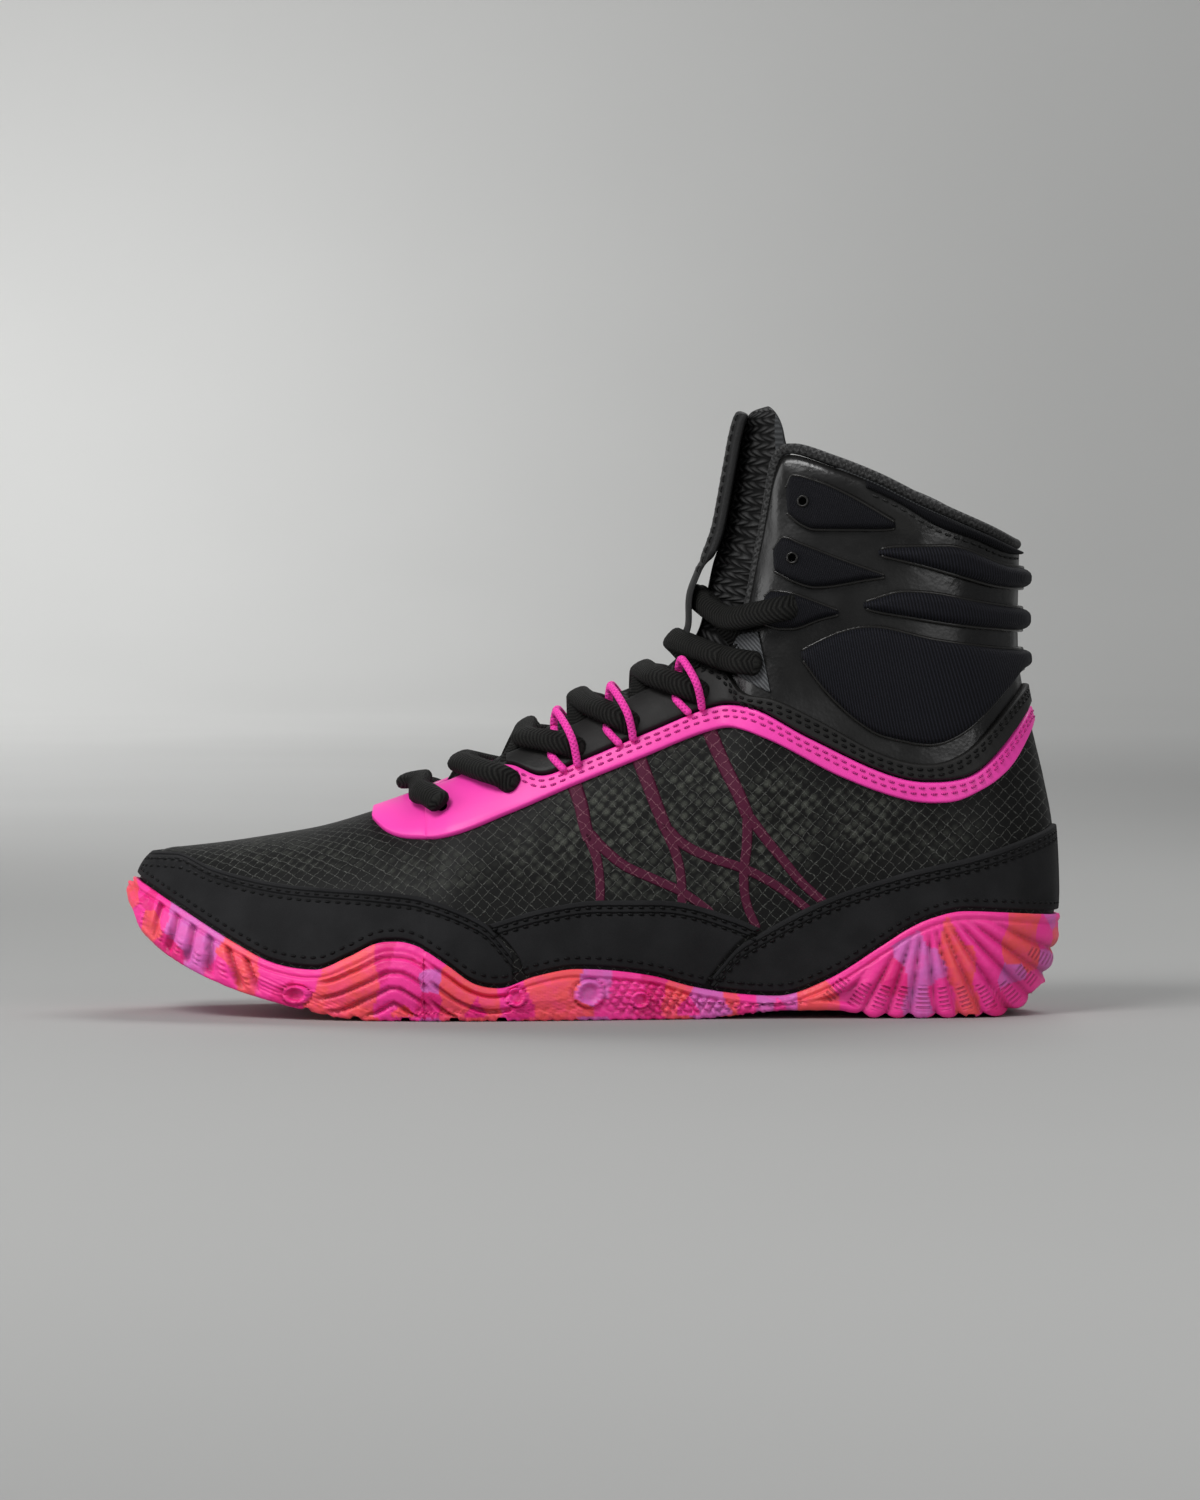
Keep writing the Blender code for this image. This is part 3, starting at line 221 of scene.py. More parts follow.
# Round top of the tongue in pixels: middle, half length, crown, fall to its sides
TONGUE_DOME = (760.0, 24.0, 404.0, 10.0)
EYELETS = ((447, 808), (507, 782), (572, 750), (627, 724), (695, 693), (750, 662), (784, 608))
# Where each crossing's lace shows on the middle line, in pixels
CRESTS = ((475, 757), (527, 729), (574, 705), (644, 675), (689, 653), (703, 606))
# Height of the throat's edge beside each eyelet, a share of COLLAR_HEIGHT
THROAT_EDGES = (0.400, 0.437, 0.494, 0.547, 0.600, 0.640, 0.735)
# Each lace crossing: share of the way up the tongue, and its stand off it in metres
CROSSINGS = ((0.115, 0.0022), (0.225, 0.0022), (0.290, 0.0022), (0.370, 0.0022), (0.462, 0.0032),
             (0.560, 0.0015))
# Eyelets that have a bungee loop
LOOPED_EYELETS = (2, 3, 4)
# A bungee loop's path in pixels from its eyelet, and how far it stands over the lace
LOOP_PATH = ((7, 15, 0.0), (7, 9, 0.35), (6, 0, 0.9), (1, -10, 1.1), (-5, -17, 1.0), (-11, -18, 0.5),
             (-15, -13, -0.1), (-18, -6, -0.3), (-20, 3, -0.3), (-16, 11, 0.0), (-7, 20, 0.0))
# Places of the sole's flex grooves, shares of the length
FLEX_GROOVES = (0.195, 0.247, 0.299, 0.351, 0.400, 0.830, 0.895)
# The strap before the tongue: share of the way up, stand off it and thickness in metres
COVER = (
    (0.470, 0.0022, 0.0013), (0.500, 0.0030, 0.0013), (0.560, 0.0047, 0.0013), (0.600, 0.0040, 0.0013),
    (0.635, 0.0028, 0.0014), (0.655, 0.0010, 0.0032), (0.700, 0.0004, 0.0036), (0.740, 0.0003, 0.0036),
    (0.840, 0.0003, 0.0036), (0.915, 0.0003, 0.0034), (0.930, 0.0003, 0.0026),
)
COVER_WIDTH = 0.026
# Rows of stitches: how far below an edge each one runs, in metres
TRIM_ROWS = (0.0018, 0.0036)
RAND_ROWS = (0.0022, 0.0042)

# The sole's moulded side: parts of it from and to a pixel across
TOE_BARS = (156, 262)
HATCHING = (262, 600)
KNURLS = (608, 800)
HOLLOW = (806, 856)
# Its two sets of waves: from, to, softness of their ends, shift by a share of a wave
WAVES = ((326, 428, 8, 0.0), (436, 512, 6, 0.35))
# Its moulded rings: place and half extents in pixels
RINGS = ((300, 987, 13, 9), (590, 985, 14, 13), (518, 988, 9, 9), (640, 992, 9, 8))
# The heel's fan: pixel of its apex, and degrees from rib to rib
FAN_APEX = (922.0, 880.0)
FAN_PITCH = 9.6

# Blocks of the marbled sole: their places in pixels, for each of its four rubbers
SOLE_BLOCKS = {
    "rubber_orchid": (
        (180, 925), (205, 945), (176, 910), (215, 925), (435, 972), (590, 985), (600, 972), (700, 992),
        (720, 998), (765, 996), (785, 994), (905, 940), (912, 970), (915, 1000), (930, 960),
        (1010, 970), (1045, 960), (1052, 918),
    ),
    "rubber_coral": (
        (133, 893), (150, 920), (236, 950), (250, 965), (325, 990), (345, 970), (370, 950), (365, 985),
        (450, 975), (470, 985), (455, 1000), (492, 990), (540, 975), (550, 995), (566, 968),
        (585, 1003), (672, 990), (682, 980), (728, 990), (806, 984), (825, 990), (945, 935), (958, 965),
        (965, 995), (1012, 945), (1025, 920), (1030, 955), (1058, 935), (400, 1010),
    ),
    "rubber_pink": (
        (145, 884), (139, 915), (165, 905), (228, 970), (272, 970), (286, 965), (310, 970), (395, 995),
        (405, 955), (415, 980), (432, 952), (510, 985), (622, 975), (632, 990), (690, 1003), (745, 995),
        (780, 1003), (832, 975), (852, 966), (845, 985), (872, 950), (868, 990), (885, 1003),
        (900, 920), (930, 925), (938, 990), (960, 915), (985, 925), (985, 955), (980, 985), (1012, 990),
        (1035, 980), (1045, 930), (1060, 920), (600, 1010),
    ),
    "rubber_magenta": (
        (150, 895), (170, 950), (290, 985), (385, 945), (430, 998), (480, 1003), (520, 1000),
        (645, 1003), (655, 980), (890, 975), (1000, 1005), (745, 1008),
    ),
}

# Soft lights: name, place, target, width and height of the panel in metres, power in watts
SHOE_MIDDLE = (0.0, 0.0, 0.07)
LAMPS = (
    ("key", (-0.75, -1.0, 1.35), SHOE_MIDDLE, 0.7, 0.7, 20.0),
    ("fill", (0.9, -1.3, 0.55), SHOE_MIDDLE, 1.0, 0.7, 6.0),
    ("rim", (0.5, 0.9, 1.3), SHOE_MIDDLE, 1.2, 0.5, 13.0),
    ("front", (-1.1, -0.2, 0.35), SHOE_MIDDLE, 0.6, 0.8, 4.0),
    ("backdrop", (-0.8, 2.5, 1.8), (-0.75, 3.8, 0.35), 1.8, 0.6, 21.0),
)


def tint(name, description, default):
    """Property for a colour in linear light."""
    return FloatVectorProperty(name=name, description=description, default=default, size=3,
                               subtype="COLOR", min=0, max=1)


def measure(name, description, default, low, high):
    """Property for a length in metres."""
    return FloatProperty(name=name, description=description, default=default, min=low, max=high,
                         unit="LENGTH")


class ShoeColours(bpy.types.PropertyGroup):
    """Colours of the shoe's finishes, in linear light."""

    pink: tint("Pink film", "Bonded band and bungee cord", (1.0, 0.055, 0.46))
    rubber_pink: tint("Pink rubber", "Sole's hot pink", (0.98, 0.036, 0.33))
    rubber_coral: tint("Coral rubber", "Sole's coral", (0.95, 0.085, 0.105))
    rubber_orchid: tint("Orchid rubber", "Sole's lilac", (0.70, 0.13, 0.50))
    rubber_magenta: tint("Magenta rubber", "Sole's dark pink", (0.80, 0.012, 0.20))
    ripstop: tint("Ripstop", "Black mesh of the quarters", (0.0042, 0.0042, 0.0040))
    knit: tint("Knit", "Grey knit that shows through the mesh", (0.084, 0.090, 0.074))
    thread: tint("Lattice thread", "Grey threads of the ripstop", (0.105, 0.108, 0.098))
    strap: tint("Under strap", "Burgundy straps under the mesh", (0.072, 0.0075, 0.028))
    suede: tint("Rand", "Charcoal microfibre of the rands", (0.0125, 0.0125, 0.0132))
    leather: tint("Shaft leather", "Satin black of shaft and eyestay", (0.0036, 0.0034, 0.0032))
    pad: tint("Pad fabric", "Fine ribbed fabric of the pads", (0.0034, 0.0035, 0.0052))
    lace: tint("Lace", "Woven black lace", (0.0055, 0.0055, 0.0050))
    lining: tint("Lining", "Grey ribbed lining", (0.050, 0.052, 0.054))
    floor: tint("Floor", "Pale studio floor", (0.335, 0.335, 0.328))


class ShoeSizes(bpy.types.PropertyGroup):
    """Sizes of the shoe's layers and small parts."""

    rand: measure("Rand", "Thickness of the rands", 0.0013, 0.0004, 0.003)
    band: measure("Band", "Height of the pink band over the cloth", 0.0016, 0.0004, 0.003)
    facing: measure("Eyestay", "Height of the eyestay over the cloth", 0.0020, 0.0004, 0.003)
    pad: measure("Ankle pad", "Height of the ankle pad", 0.0036, 0.001, 0.006)
    rib: measure("Rib", "Height of the shaft's ribs", 0.0037, 0.001, 0.006)
    fin: measure("Lace tab", "Height of the lace tabs", 0.0033, 0.001, 0.006)
    cuff: measure("Cuff", "Height of the rolled collar", 0.0021, 0.0005, 0.004)
    piping: measure("Piping", "Radius of the collar's cord", 0.0016, 0.0005, 0.003)
    stitch: measure("Stitch", "Length of a stitch and its gap", 0.0031, 0.001, 0.006)
    stitch_radius: measure("Stitch thread", "Radius of the sewing thread", 0.00045, 0.0001, 0.001)
    lace_width: measure("Lace width", "Width of the flat lace", 0.0076, 0.003, 0.01)
    lace_thickness: measure("Lace thickness", "Thickness of the lace", 0.0046, 0.001, 0.005)
    loop: measure("Bungee", "Radius of the bungee cord", 0.00120, 0.0005, 0.002)
    relief: measure("Sole relief", "Depth of the sole's grooves", 0.0016, 0.0, 0.003)
    lattice: measure("Lattice", "Cell of the ripstop's lattice", 0.0040, 0.001, 0.01)
    crease: FloatProperty(name="Creases", description="Share of the creases' depth", default=1.0,
                          min=0.0, max=2.0)
    station_count: IntProperty(name="Stations", description="Columns of the upper's surface",
                               default=280, min=60, max=400)


def colours():
    """The colours that the panel shows."""
    return bpy.context.scene.shoe_colours


def sizes():
    """The sizes that the panel shows."""
    return bpy.context.scene.shoe_sizes


def smooth_curve(knots, values, at):
    """Cubic curve through the points, with slopes held so that it never overshoots them."""
    knots, values = np.asarray(knots, float), np.asarray(values, float)
    rise = np.diff(values) / np.diff(knots)
    slope = np.zeros(len(values))
    middle = (rise[:-1] + rise[1:]) / 2
    limit = 3 * np.minimum(abs(rise[:-1]), abs(rise[1:]))
    same_way = rise[:-1] * rise[1:] > 0
    slope[1:-1] = np.where(same_way, np.sign(middle) * np.minimum(abs(middle), limit), 0)
    slope[0], slope[-1] = rise[0], rise[-1]
    at = np.clip(at, knots[0], knots[-1])
    cell = np.clip(np.searchsorted(knots, at, side="right") - 1, 0, len(knots) - 2)
    width = knots[cell + 1] - knots[cell]
    t = (at - knots[cell]) / width
    start = (1 + 2 * t) * (1 - t) ** 2 * values[cell] + t * (1 - t) ** 2 * width * slope[cell]
    end = t * t * (3 - 2 * t) * values[cell + 1] + t * t * (t - 1) * width * slope[cell + 1]
    return start + end


def place_of(across, down):
    """x and z in metres of a place in the picture's side view."""
    x = ((np.asarray(across, float) - TOE_PIXEL) / PIXELS_LONG - MIDDLE_ALONG) * LENGTH
    return x, (FLOOR_PIXEL - np.asarray(down, float)) / PIXELS_HIGH * COLLAR_HEIGHT


def pixels_of(points):
    """The picture's pixels of points, seen from the side."""
    across = (points[..., 0] / LENGTH + MIDDLE_ALONG) * PIXELS_LONG + TOE_PIXEL
    return across, FLOOR_PIXEL - points[..., 2] / COLLAR_HEIGHT * PIXELS_HIGH


def line_height(line, x):
    """Height in metres of a side-view edge above the place x."""
    across, height = place_of(*np.array(line, float).T)
    return smooth_curve(across, height, x)


def section(name, station):
    """Value of one column of the ribs' table at a station."""
    return smooth_curve(STATIONS, SECTION[name], station)


def skin(station, climb, side):
    """Point of the upper's outer skin: a straight rib from feather to top edge as seen from the
    side, whose half width is open + (1 - open)(1 - climb^power)^bend, swollen by the belly and
    tucked in by a twentieth at the feather. Below the top edge the opening is the mean of its
    neighbours', so that the throat's end leaves no step."""
    power, opening = section("power", station), section("open", station)
    around = sum(section("open", station + step) for step in OPEN_BLUR) / len(OPEN_BLUR)
    high = np.clip((climb - 0.6) / 0.35, 0, 1) ** 2
    opening = around + (opening - around) * high
    round_climb = np.clip(1 - climb ** power, 0, 1)
    upright = np.clip((opening - 0.35) / 0.3, 0, 1)
    upright = upright * upright * (3 - 2 * upright)
    bend = 1 / power + (1 - 1 / power) * upright
    width = opening + (1 - opening) * round_climb ** bend
    width = width * (1 + section("belly", station) * np.sin(math.pi * climb) ** 2)
    tuck = 1 - 0.05 * np.clip(1 - climb / 0.2, 0, 1) ** 2
    reach = section("outer" if side == OUTER else "inner", station) * BALL_WIDTH * width * tuck
    dome = section("dome", station)
    lean = (1 - dome) * climb + dome * (1 - round_climb ** (1 / power))
    along = section("foot_along", station) * (1 - lean) + section("top_along", station) * lean
    along = along + section("hook", station) * smooth_curve(*np.array(HEEL_CURVE).T, climb)
    height = section("foot_height", station) * (1 - climb) + section("top_height", station) * climb
    y = (section("sway", station) - MIDDLE_SWAY) * BALL_WIDTH + side * reach
    return np.stack([(along - MIDDLE_ALONG) * LENGTH, y, height * COLLAR_HEIGHT], axis=-1)


def normal_at(station, climb, side):
    """Outward direction of the skin, kept in the mirror plane where the two sides meet."""
    station, climb = np.broadcast_arrays(np.asarray(station, float), np.asarray(climb, float))
    step = 0.002
    u, v = np.clip(station, 2 * step, 1 - 2 * step), np.clip(climb, 2 * step, 0.985)
    along = skin(u + step, v, side) - skin(u - step, v, side)
    up = skin(u, v + step, side) - skin(u, v - step, side)
    normal = np.cross(along, up) * -side
    closed = (station <= 0) | (station >= 1) | ((climb >= 1) & (section("open", station) <= 0))
    normal[..., 1] = np.where(closed, 0, normal[..., 1])
    return normal / np.linalg.norm(normal, axis=-1, keepdims=True)


def crease_at(points):
    """Sum of the creases at places of the side view: each is a soft trough or ridge that falls off
    as a bell across its line and fades at its ends."""
    across, down = pixels_of(points)
    total = np.zeros(across.shape)
    for start, end, width, depth in CREASES:
        (x0, y0), (x1, y1) = start, end
        long = math.hypot(x1 - x0, y1 - y0)
        ux, uy = (x1 - x0) / long, (y1 - y0) / long
        t = ((across - x0) * ux + (down - y0) * uy) / long
        off = (-(across - x0) * uy + (down - y0) * ux) / (width * PIXELS_PER_MM)
        off = off + 0.35 * np.sin(4.0 * t + x0)
        beyond = np.maximum(np.maximum(-t, t - 1), 0) * 4
        total = total - depth * np.exp(-off ** 2 * 1.4 - beyond ** 2 * 2)
    return total * MM * sizes().crease


def lifted(station, climb, side, lift):
    """Skin moved outwards by lift and by the creases, which fade at the edges of the upper."""
    station, climb = np.broadcast_arrays(np.asarray(station, float), np.asarray(climb, float))
    base = skin(station, climb, side)
    fade = np.clip(climb / 0.12, 0, 1) * np.clip((1 - climb) / 0.04, 0, 1)
    away = np.asarray(lift) + crease_at(base) * fade
    return base + normal_at(station, climb, side) * away[..., None]


def climb_of(line, station, side, lift=0.0):
    """Climb at which each rib crosses a side-view edge, found by halving."""
    station = np.asarray(station, float)
    low, high = np.zeros_like(station), np.ones_like(station)
    for _ in range(30):
        middle = (low + high) / 2
        point = skin(station, middle, side)
        below = point[..., 2] < line_height(line, point[..., 0]) + lift
        low, high = np.where(below, middle, low), np.where(below, high, middle)
    return (low + high) / 2


def climb_at(station, arc):
    """Climb at an even share of the way over the skin: by equal angles over the vamp, where the
    skin closes on top, and by equal steps up the shaft."""
    rounded = np.sin(np.clip(arc, 0, 1) * math.pi / 2) ** (2 / section("power", station))
    upright = np.clip(section("open", station) / 0.6, 0, 1)
    return rounded * (1 - upright) + arc * upright


def arc_of(station, climb):
    """Even share of the way over the skin at a climb, found by halving."""
    low, high = np.zeros_like(station), np.ones_like(station)
    for _ in range(30):
        middle = (low + high) / 2
        below = climb_at(station, middle) < climb
        low, high = np.where(below, middle, low), np.where(below, high, middle)
    return (low + high) / 2


def chart():
    """Side-view places of an even grid of stations and climbs, for finding the skin by picture."""
    u, v = np.meshgrid(np.linspace(0, 1, 501), np.linspace(0, 1, 251), indexing="ij")
    return u, v, skin(u, v, OUTER)[..., [0, 2]]


CHART = chart()


def spots(pixels):
    """Stations and climbs of places in the picture: the nearest of the chart's grid, then three
    Newton steps on the skin's side view."""
    pixels = np.array(pixels, float)
    target = np.stack(place_of(*pixels.reshape(-1, 2).T), axis=-1)
    u_grid, v_grid, seen = CHART
    found = [np.unravel_index(np.argmin(np.sum((seen - place) ** 2, axis=-1)), u_grid.shape)
             for place in target]
    u = np.array([u_grid[index] for index in found])
    v = np.array([v_grid[index] for index in found])
    step = 0.001
    for _ in range(3):
        here = skin(u, v, OUTER)[..., [0, 2]]
        by_u = (skin(np.minimum(u + step, 1), v, OUTER)[..., [0, 2]] - here) / step
        by_v = (here - skin(u, np.maximum(v - step, 0), OUTER)[..., [0, 2]]) / step
        gap = target - here
        scale = by_u[:, 0] * by_v[:, 1] - by_u[:, 1] * by_v[:, 0]
        scale = np.where(abs(scale) < 1e-5, np.inf, scale)
        du = (gap[:, 0] * by_v[:, 1] - gap[:, 1] * by_v[:, 0]) / scale
        dv = (by_u[:, 0] * gap[:, 1] - by_u[:, 1] * gap[:, 0]) / scale
        u = np.clip(u + np.clip(du, -0.004, 0.004), 0, 1)
        v = np.clip(v + np.clip(dv, -0.008, 0.008), 0, 1)
    return u.reshape(pixels.shape[:-1]), v.reshape(pixels.shape[:-1])


def station_near(pixel):
    """Station of one place in the picture."""
    return float(spots([pixel])[0][0])


def edge(line, lift=0.0):
    """Function that gives the climbs of a side-view edge along the stations."""
    return lambda columns, side: climb_of(line, columns, side, lift)


def top_edge(columns, side):
    """The upper's top edge, in the form that edge() gives."""
    return np.ones_like(columns)


def run_of(path):
    """Length along a path from its start to each of its points."""
    return np.concatenate([[0], np.cumsum(np.linalg.norm(np.diff(path, axis=0), axis=1))])


def resample(points, count):
    """Places evenly spread by length along a polyline of points."""
    length = run_of(points)
    at = np.linspace(0, length[-1], count)
    return np.stack([np.interp(at, length, points[:, axis]) for axis in range(points.shape[1])], axis=1)


def spline(points, count):
    """Smooth curve through points: a cubic whose slope at each point is that of its neighbours'
    chord, then spread evenly by length."""
    points = np.asarray(points, float)
    ends = np.concatenate([[2 * points[0] - points[1]], points, [2 * points[-1] - points[-2]]])
    t = np.linspace(0, len(points) - 1 - 1e-9, max(count * 3, 30))
    cell = t.astype(int)
    w = (t - cell)[:, None]
    a, b, c, d = (ends[cell + k] for k in range(4))
    curve = 0.5 * (2 * b + (c - a) * w + (2 * a - 5 * b + 4 * c - d) * w ** 2
                   + (3 * b - a - 3 * c + d) * w ** 3)
    return resample(curve, count)


def unit(vectors):
    """The vectors at a length of one."""
    return vectors / np.maximum(np.linalg.norm(vectors, axis=-1, keepdims=True), 1e-12)


def noise_of(a, b):
    """Smooth even unevenness from -1 to 1 of two coordinates: a sum of turned sine waves."""
    first = np.sin(a * 1.00 + 1.7 * np.sin(b * 0.83 + 0.5)) * np.cos(b * 1.13 - 0.9 * np.sin(a * 0.61))
    second = np.sin(a * 2.31 - b * 1.77 + 2.1) * np.sin(b * 2.93 + a * 0.47 + 0.3)
    return 0.65 * first + 0.35 * second


def make_mesh(name, grids, finishes, turn=False):
    """One mesh of grids of points: each grid has points, its cloth coordinates in millimetres, a
    flag that turns its faces round, and the number of its finish. Touching edges are merged."""
    verts, cloth, faces, slots, base = [], [], [], [], 0
    for points, coords, flip, slot in grids:
        rows, cols = points.shape[:2]
        index = base + np.arange(rows * cols).reshape(rows, cols)
        quads = np.stack([index[:-1, :-1], index[1:, :-1], index[1:, 1:], index[:-1, 1:]], axis=-1)
        quads = quads.reshape(-1, 4)
        faces.append(quads[:, ::-1] if flip else quads)
        slots.append(np.broadcast_to(slot, (rows - 1, cols - 1)).reshape(-1))
        verts.append(points.reshape(-1, 3))
        cloth.append(np.broadcast_to(coords, points.shape).reshape(-1, 3))
        base += rows * cols
    mesh = bpy.data.meshes.new(name)
    mesh.from_pydata(np.concatenate(verts).tolist(), [], np.concatenate(faces).tolist())
    layer = mesh.attributes.new("cloth", "FLOAT_VECTOR", "POINT")
    layer.data.foreach_set("vector", np.concatenate(cloth).astype(np.float32).ravel())
    for finish in finishes:
        mesh.materials.append(finish)
    mesh.polygons.foreach_set("material_index", np.concatenate(slots).astype(np.int32))
    tidy = bmesh.new()
    tidy.from_mesh(mesh)
    bmesh.ops.remove_doubles(tidy, verts=tidy.verts, dist=WELD)
    bmesh.ops.dissolve_degenerate(tidy, edges=tidy.edges, dist=WELD)
    if turn:
        bmesh.ops.recalc_face_normals(tidy, faces=tidy.faces)
    tidy.to_mesh(mesh)
    tidy.free()
    mesh.shade_smooth()
    return mesh


def add_piece(name, mesh, slot, *nodes):
    """Puts a finished mesh into the scene, on the shoe's one body, in place of its solids."""
    piece = bpy.data.objects.new(name, mesh)
    bpy.context.scene.collection.objects.link(piece)
    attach(piece, "root")
    if nodes:
        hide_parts(*nodes)
    return piece


def add_grids(name, grids, finish, slot, *nodes):
    """A piece of one finish from grids of points, with its faces turned outwards."""
    return add_piece(name, make_mesh(name, grids, [finish], turn=True), slot, *nodes)


def end_columns(start, end, count, low, high, side, radius):
    """Stations from start to end, crowded at both ends so that an edge of that radius is round."""
    turn = radius * (1 - np.cos(np.linspace(0, math.pi / 2, 5)))
    plain = np.linspace(start, end, count)
    result = [plain]
    for at, way in ((start, 1), (end, -1)):
        near = np.array([at, at + way * 0.004])
        climb = (low(near, side) + high(near, side)) / 2
        speed = np.linalg.norm(np.diff(skin(near, climb, side), axis=0)) / 0.004
        result.append(at + way * turn / speed)
    columns = np.unique(np.round(np.concatenate(result), 7))
    kept = np.concatenate([[True], np.diff(columns) > 2e-5])
    return columns[kept]


def blanket(columns, low, high, side, height, radius, rows, crown, open_ends):
    """Closed sheet over the skin between two edges. Its height rises as a quarter circle of the
    radius at every edge, and a crown adds a bell over the middle."""
    start, end = arc_of(columns, low(columns, side)), arc_of(columns, high(columns, side))
    fine = np.linspace(0, 1, 13)
    line = skin(columns[:, None], climb_at(columns[:, None], start[:, None]
                + (end - start)[:, None] * fine), side)
    width = np.sum(np.linalg.norm(np.diff(line, axis=1), axis=2), axis=1)
    run = run_of(line[:, 6])
    angle = np.linspace(0, math.pi / 2, 5)
    reach = np.minimum(radius, width / 2)[:, None]
    lower = reach * (1 - np.cos(angle)) / np.maximum(width, 1e-7)[:, None]
    inner = np.linspace(0, 1, rows + 1)[1:-1]
    between = lower[:, -1:] + (1 - 2 * lower[:, -1:]) * inner
    share = np.concatenate([lower, between, 1 - lower[:, ::-1]], axis=1)
    rise = np.concatenate([np.sin(angle), np.ones(rows - 1), np.sin(angle)[::-1]])
    slim = np.sqrt(np.clip(width / (2 * radius), 0, 1))
    for at, distance in ((0, run), (1, run[-1] - run)):
        if at not in open_ends:
            inward = np.clip(distance / radius, 0, 1)
            slim = slim * np.sqrt(np.clip(1 - (1 - inward) ** 2, 0, 1))
    bell = np.sin(math.pi * share) ** 0.9 * np.clip(width / 0.010, 0, 1)[:, None]
    total = height * rise * slim[:, None] * (1 + crown * bell)
    station = np.broadcast_to(columns[:, None], share.shape)
    climb = climb_at(station, start[:, None] + (end - start)[:, None] * share)
    across = share * width[:, None]
    coords = np.stack([np.broadcast_to(run[:, None], share.shape), across, width[:, None] - across],
                      axis=-1) / MM
    floor = lifted(station, climb, side, SUNK)
    top = floor + normal_at(station, climb, side) * (total - SUNK * (total > 0))[..., None]
    return [(top, coords, side == INNER, 0), (floor, coords, side == OUTER, 0)]


def tube(path, face, wide, thick, sides=12, square=1.0):
    """Section of a given width and thickness carried along a path; face is the direction of its
    flat side. The section is a rounded oval, and its ends are domed."""
    way = unit(np.gradient(path, axis=0))
    across = unit(np.cross(way, face))
    up = np.cross(across, way)
    turn = np.linspace(0, 2 * math.pi, sides + 1)
    cos, sin = np.cos(turn), np.sin(turn)
    c = np.sign(cos) * abs(cos) ** square
    s = np.sign(sin) * abs(sin) ** square
    ring = across[:, None] * c[:, None] * wide / 2 + up[:, None] * s[:, None] * thick / 2
    dome = np.array([0.0, 0.6, 0.88])[:, None, None]
    push = np.array([1.0, 0.75, 0.4])[:, None, None] * thick / 2
    first = path[0] - way[0] * push + ring[0] * dome
    last = path[-1] + way[-1] * push + ring[-1] * dome
    grid = np.concatenate([first, path[:, None] + ring, last[::-1]])
    run = np.pad(run_of(path), 3, mode="edge")
    girth = math.pi * (wide + thick) / 2
    coords = np.stack(np.broadcast_arrays(run[:, None], turn[None] / (2 * math.pi) * girth,
                                          turn[None] / (2 * math.pi)), axis=-1)
    coords = coords / np.array([MM, MM, 1])
    return grid, coords, True, 0


def shut(points):
    """The grid with both its end rings drawn together to their middles."""
    ends = [np.broadcast_to(points[row].mean(axis=0), points[:1].shape) for row in (0, -1)]
    return np.concatenate([ends[0], points, ends[1]])


def stitches(path, face, radius, sides=5, share=0.70):
    """Run of sewing stitches along a path: each is a short thread that rises in its middle and
    dips into the cloth at both ends. Returns one grid a stitch, as whole arrays."""
    pitch = sizes().stitch
    run = run_of(path)
    count = max(int(run[-1] / pitch), 1)
    t = np.array([0.0, 0.06, 0.25, 0.5, 0.75, 0.94, 1.0])
    scale = np.array([0.0, 0.75, 1.0, 1.05, 1.0, 0.75, 0.0])
    rise = np.array([-0.9, -0.35, 0.35, 0.5, 0.35, -0.35, -0.9])
    at = (np.arange(count)[:, None] + 0.5 - share / 2 + share * t) * run[-1] / count
    centre = np.stack([np.interp(at, run, path[:, axis]) for axis in range(3)], axis=-1)
    up = unit(np.stack([np.interp(at, run, face[:, axis]) for axis in range(3)], axis=-1))
    way = unit(centre[:, -1:] - centre[:, :1])
    across = unit(np.cross(way, up))
    centre = centre + up * (rise * radius)[:, None]
    turn = np.linspace(0, 2 * math.pi, sides + 1)
    ring = (across[:, :, None] * np.cos(turn)[:, None] + up[:, :, None] * np.sin(turn)[:, None])
    ring = ring * radius * scale[:, None, None]
    points = centre[:, :, None] + ring
    coords = np.zeros(points.shape)
    coords[..., 0] = at[:, :, None] / MM
    return [(points[number], coords[number], True, 0) for number in range(count)]


def along_edge(line, start, end, side, lift, down=0.0, count=260):
    """Path over the skin along a side-view edge between two stations, and the skin's direction."""
    columns = np.linspace(start, end, count)
    climb = climb_of(line, columns, side, -down)
    up = normal_at(columns, climb, side)
    return lifted(columns, climb, side, lift), up


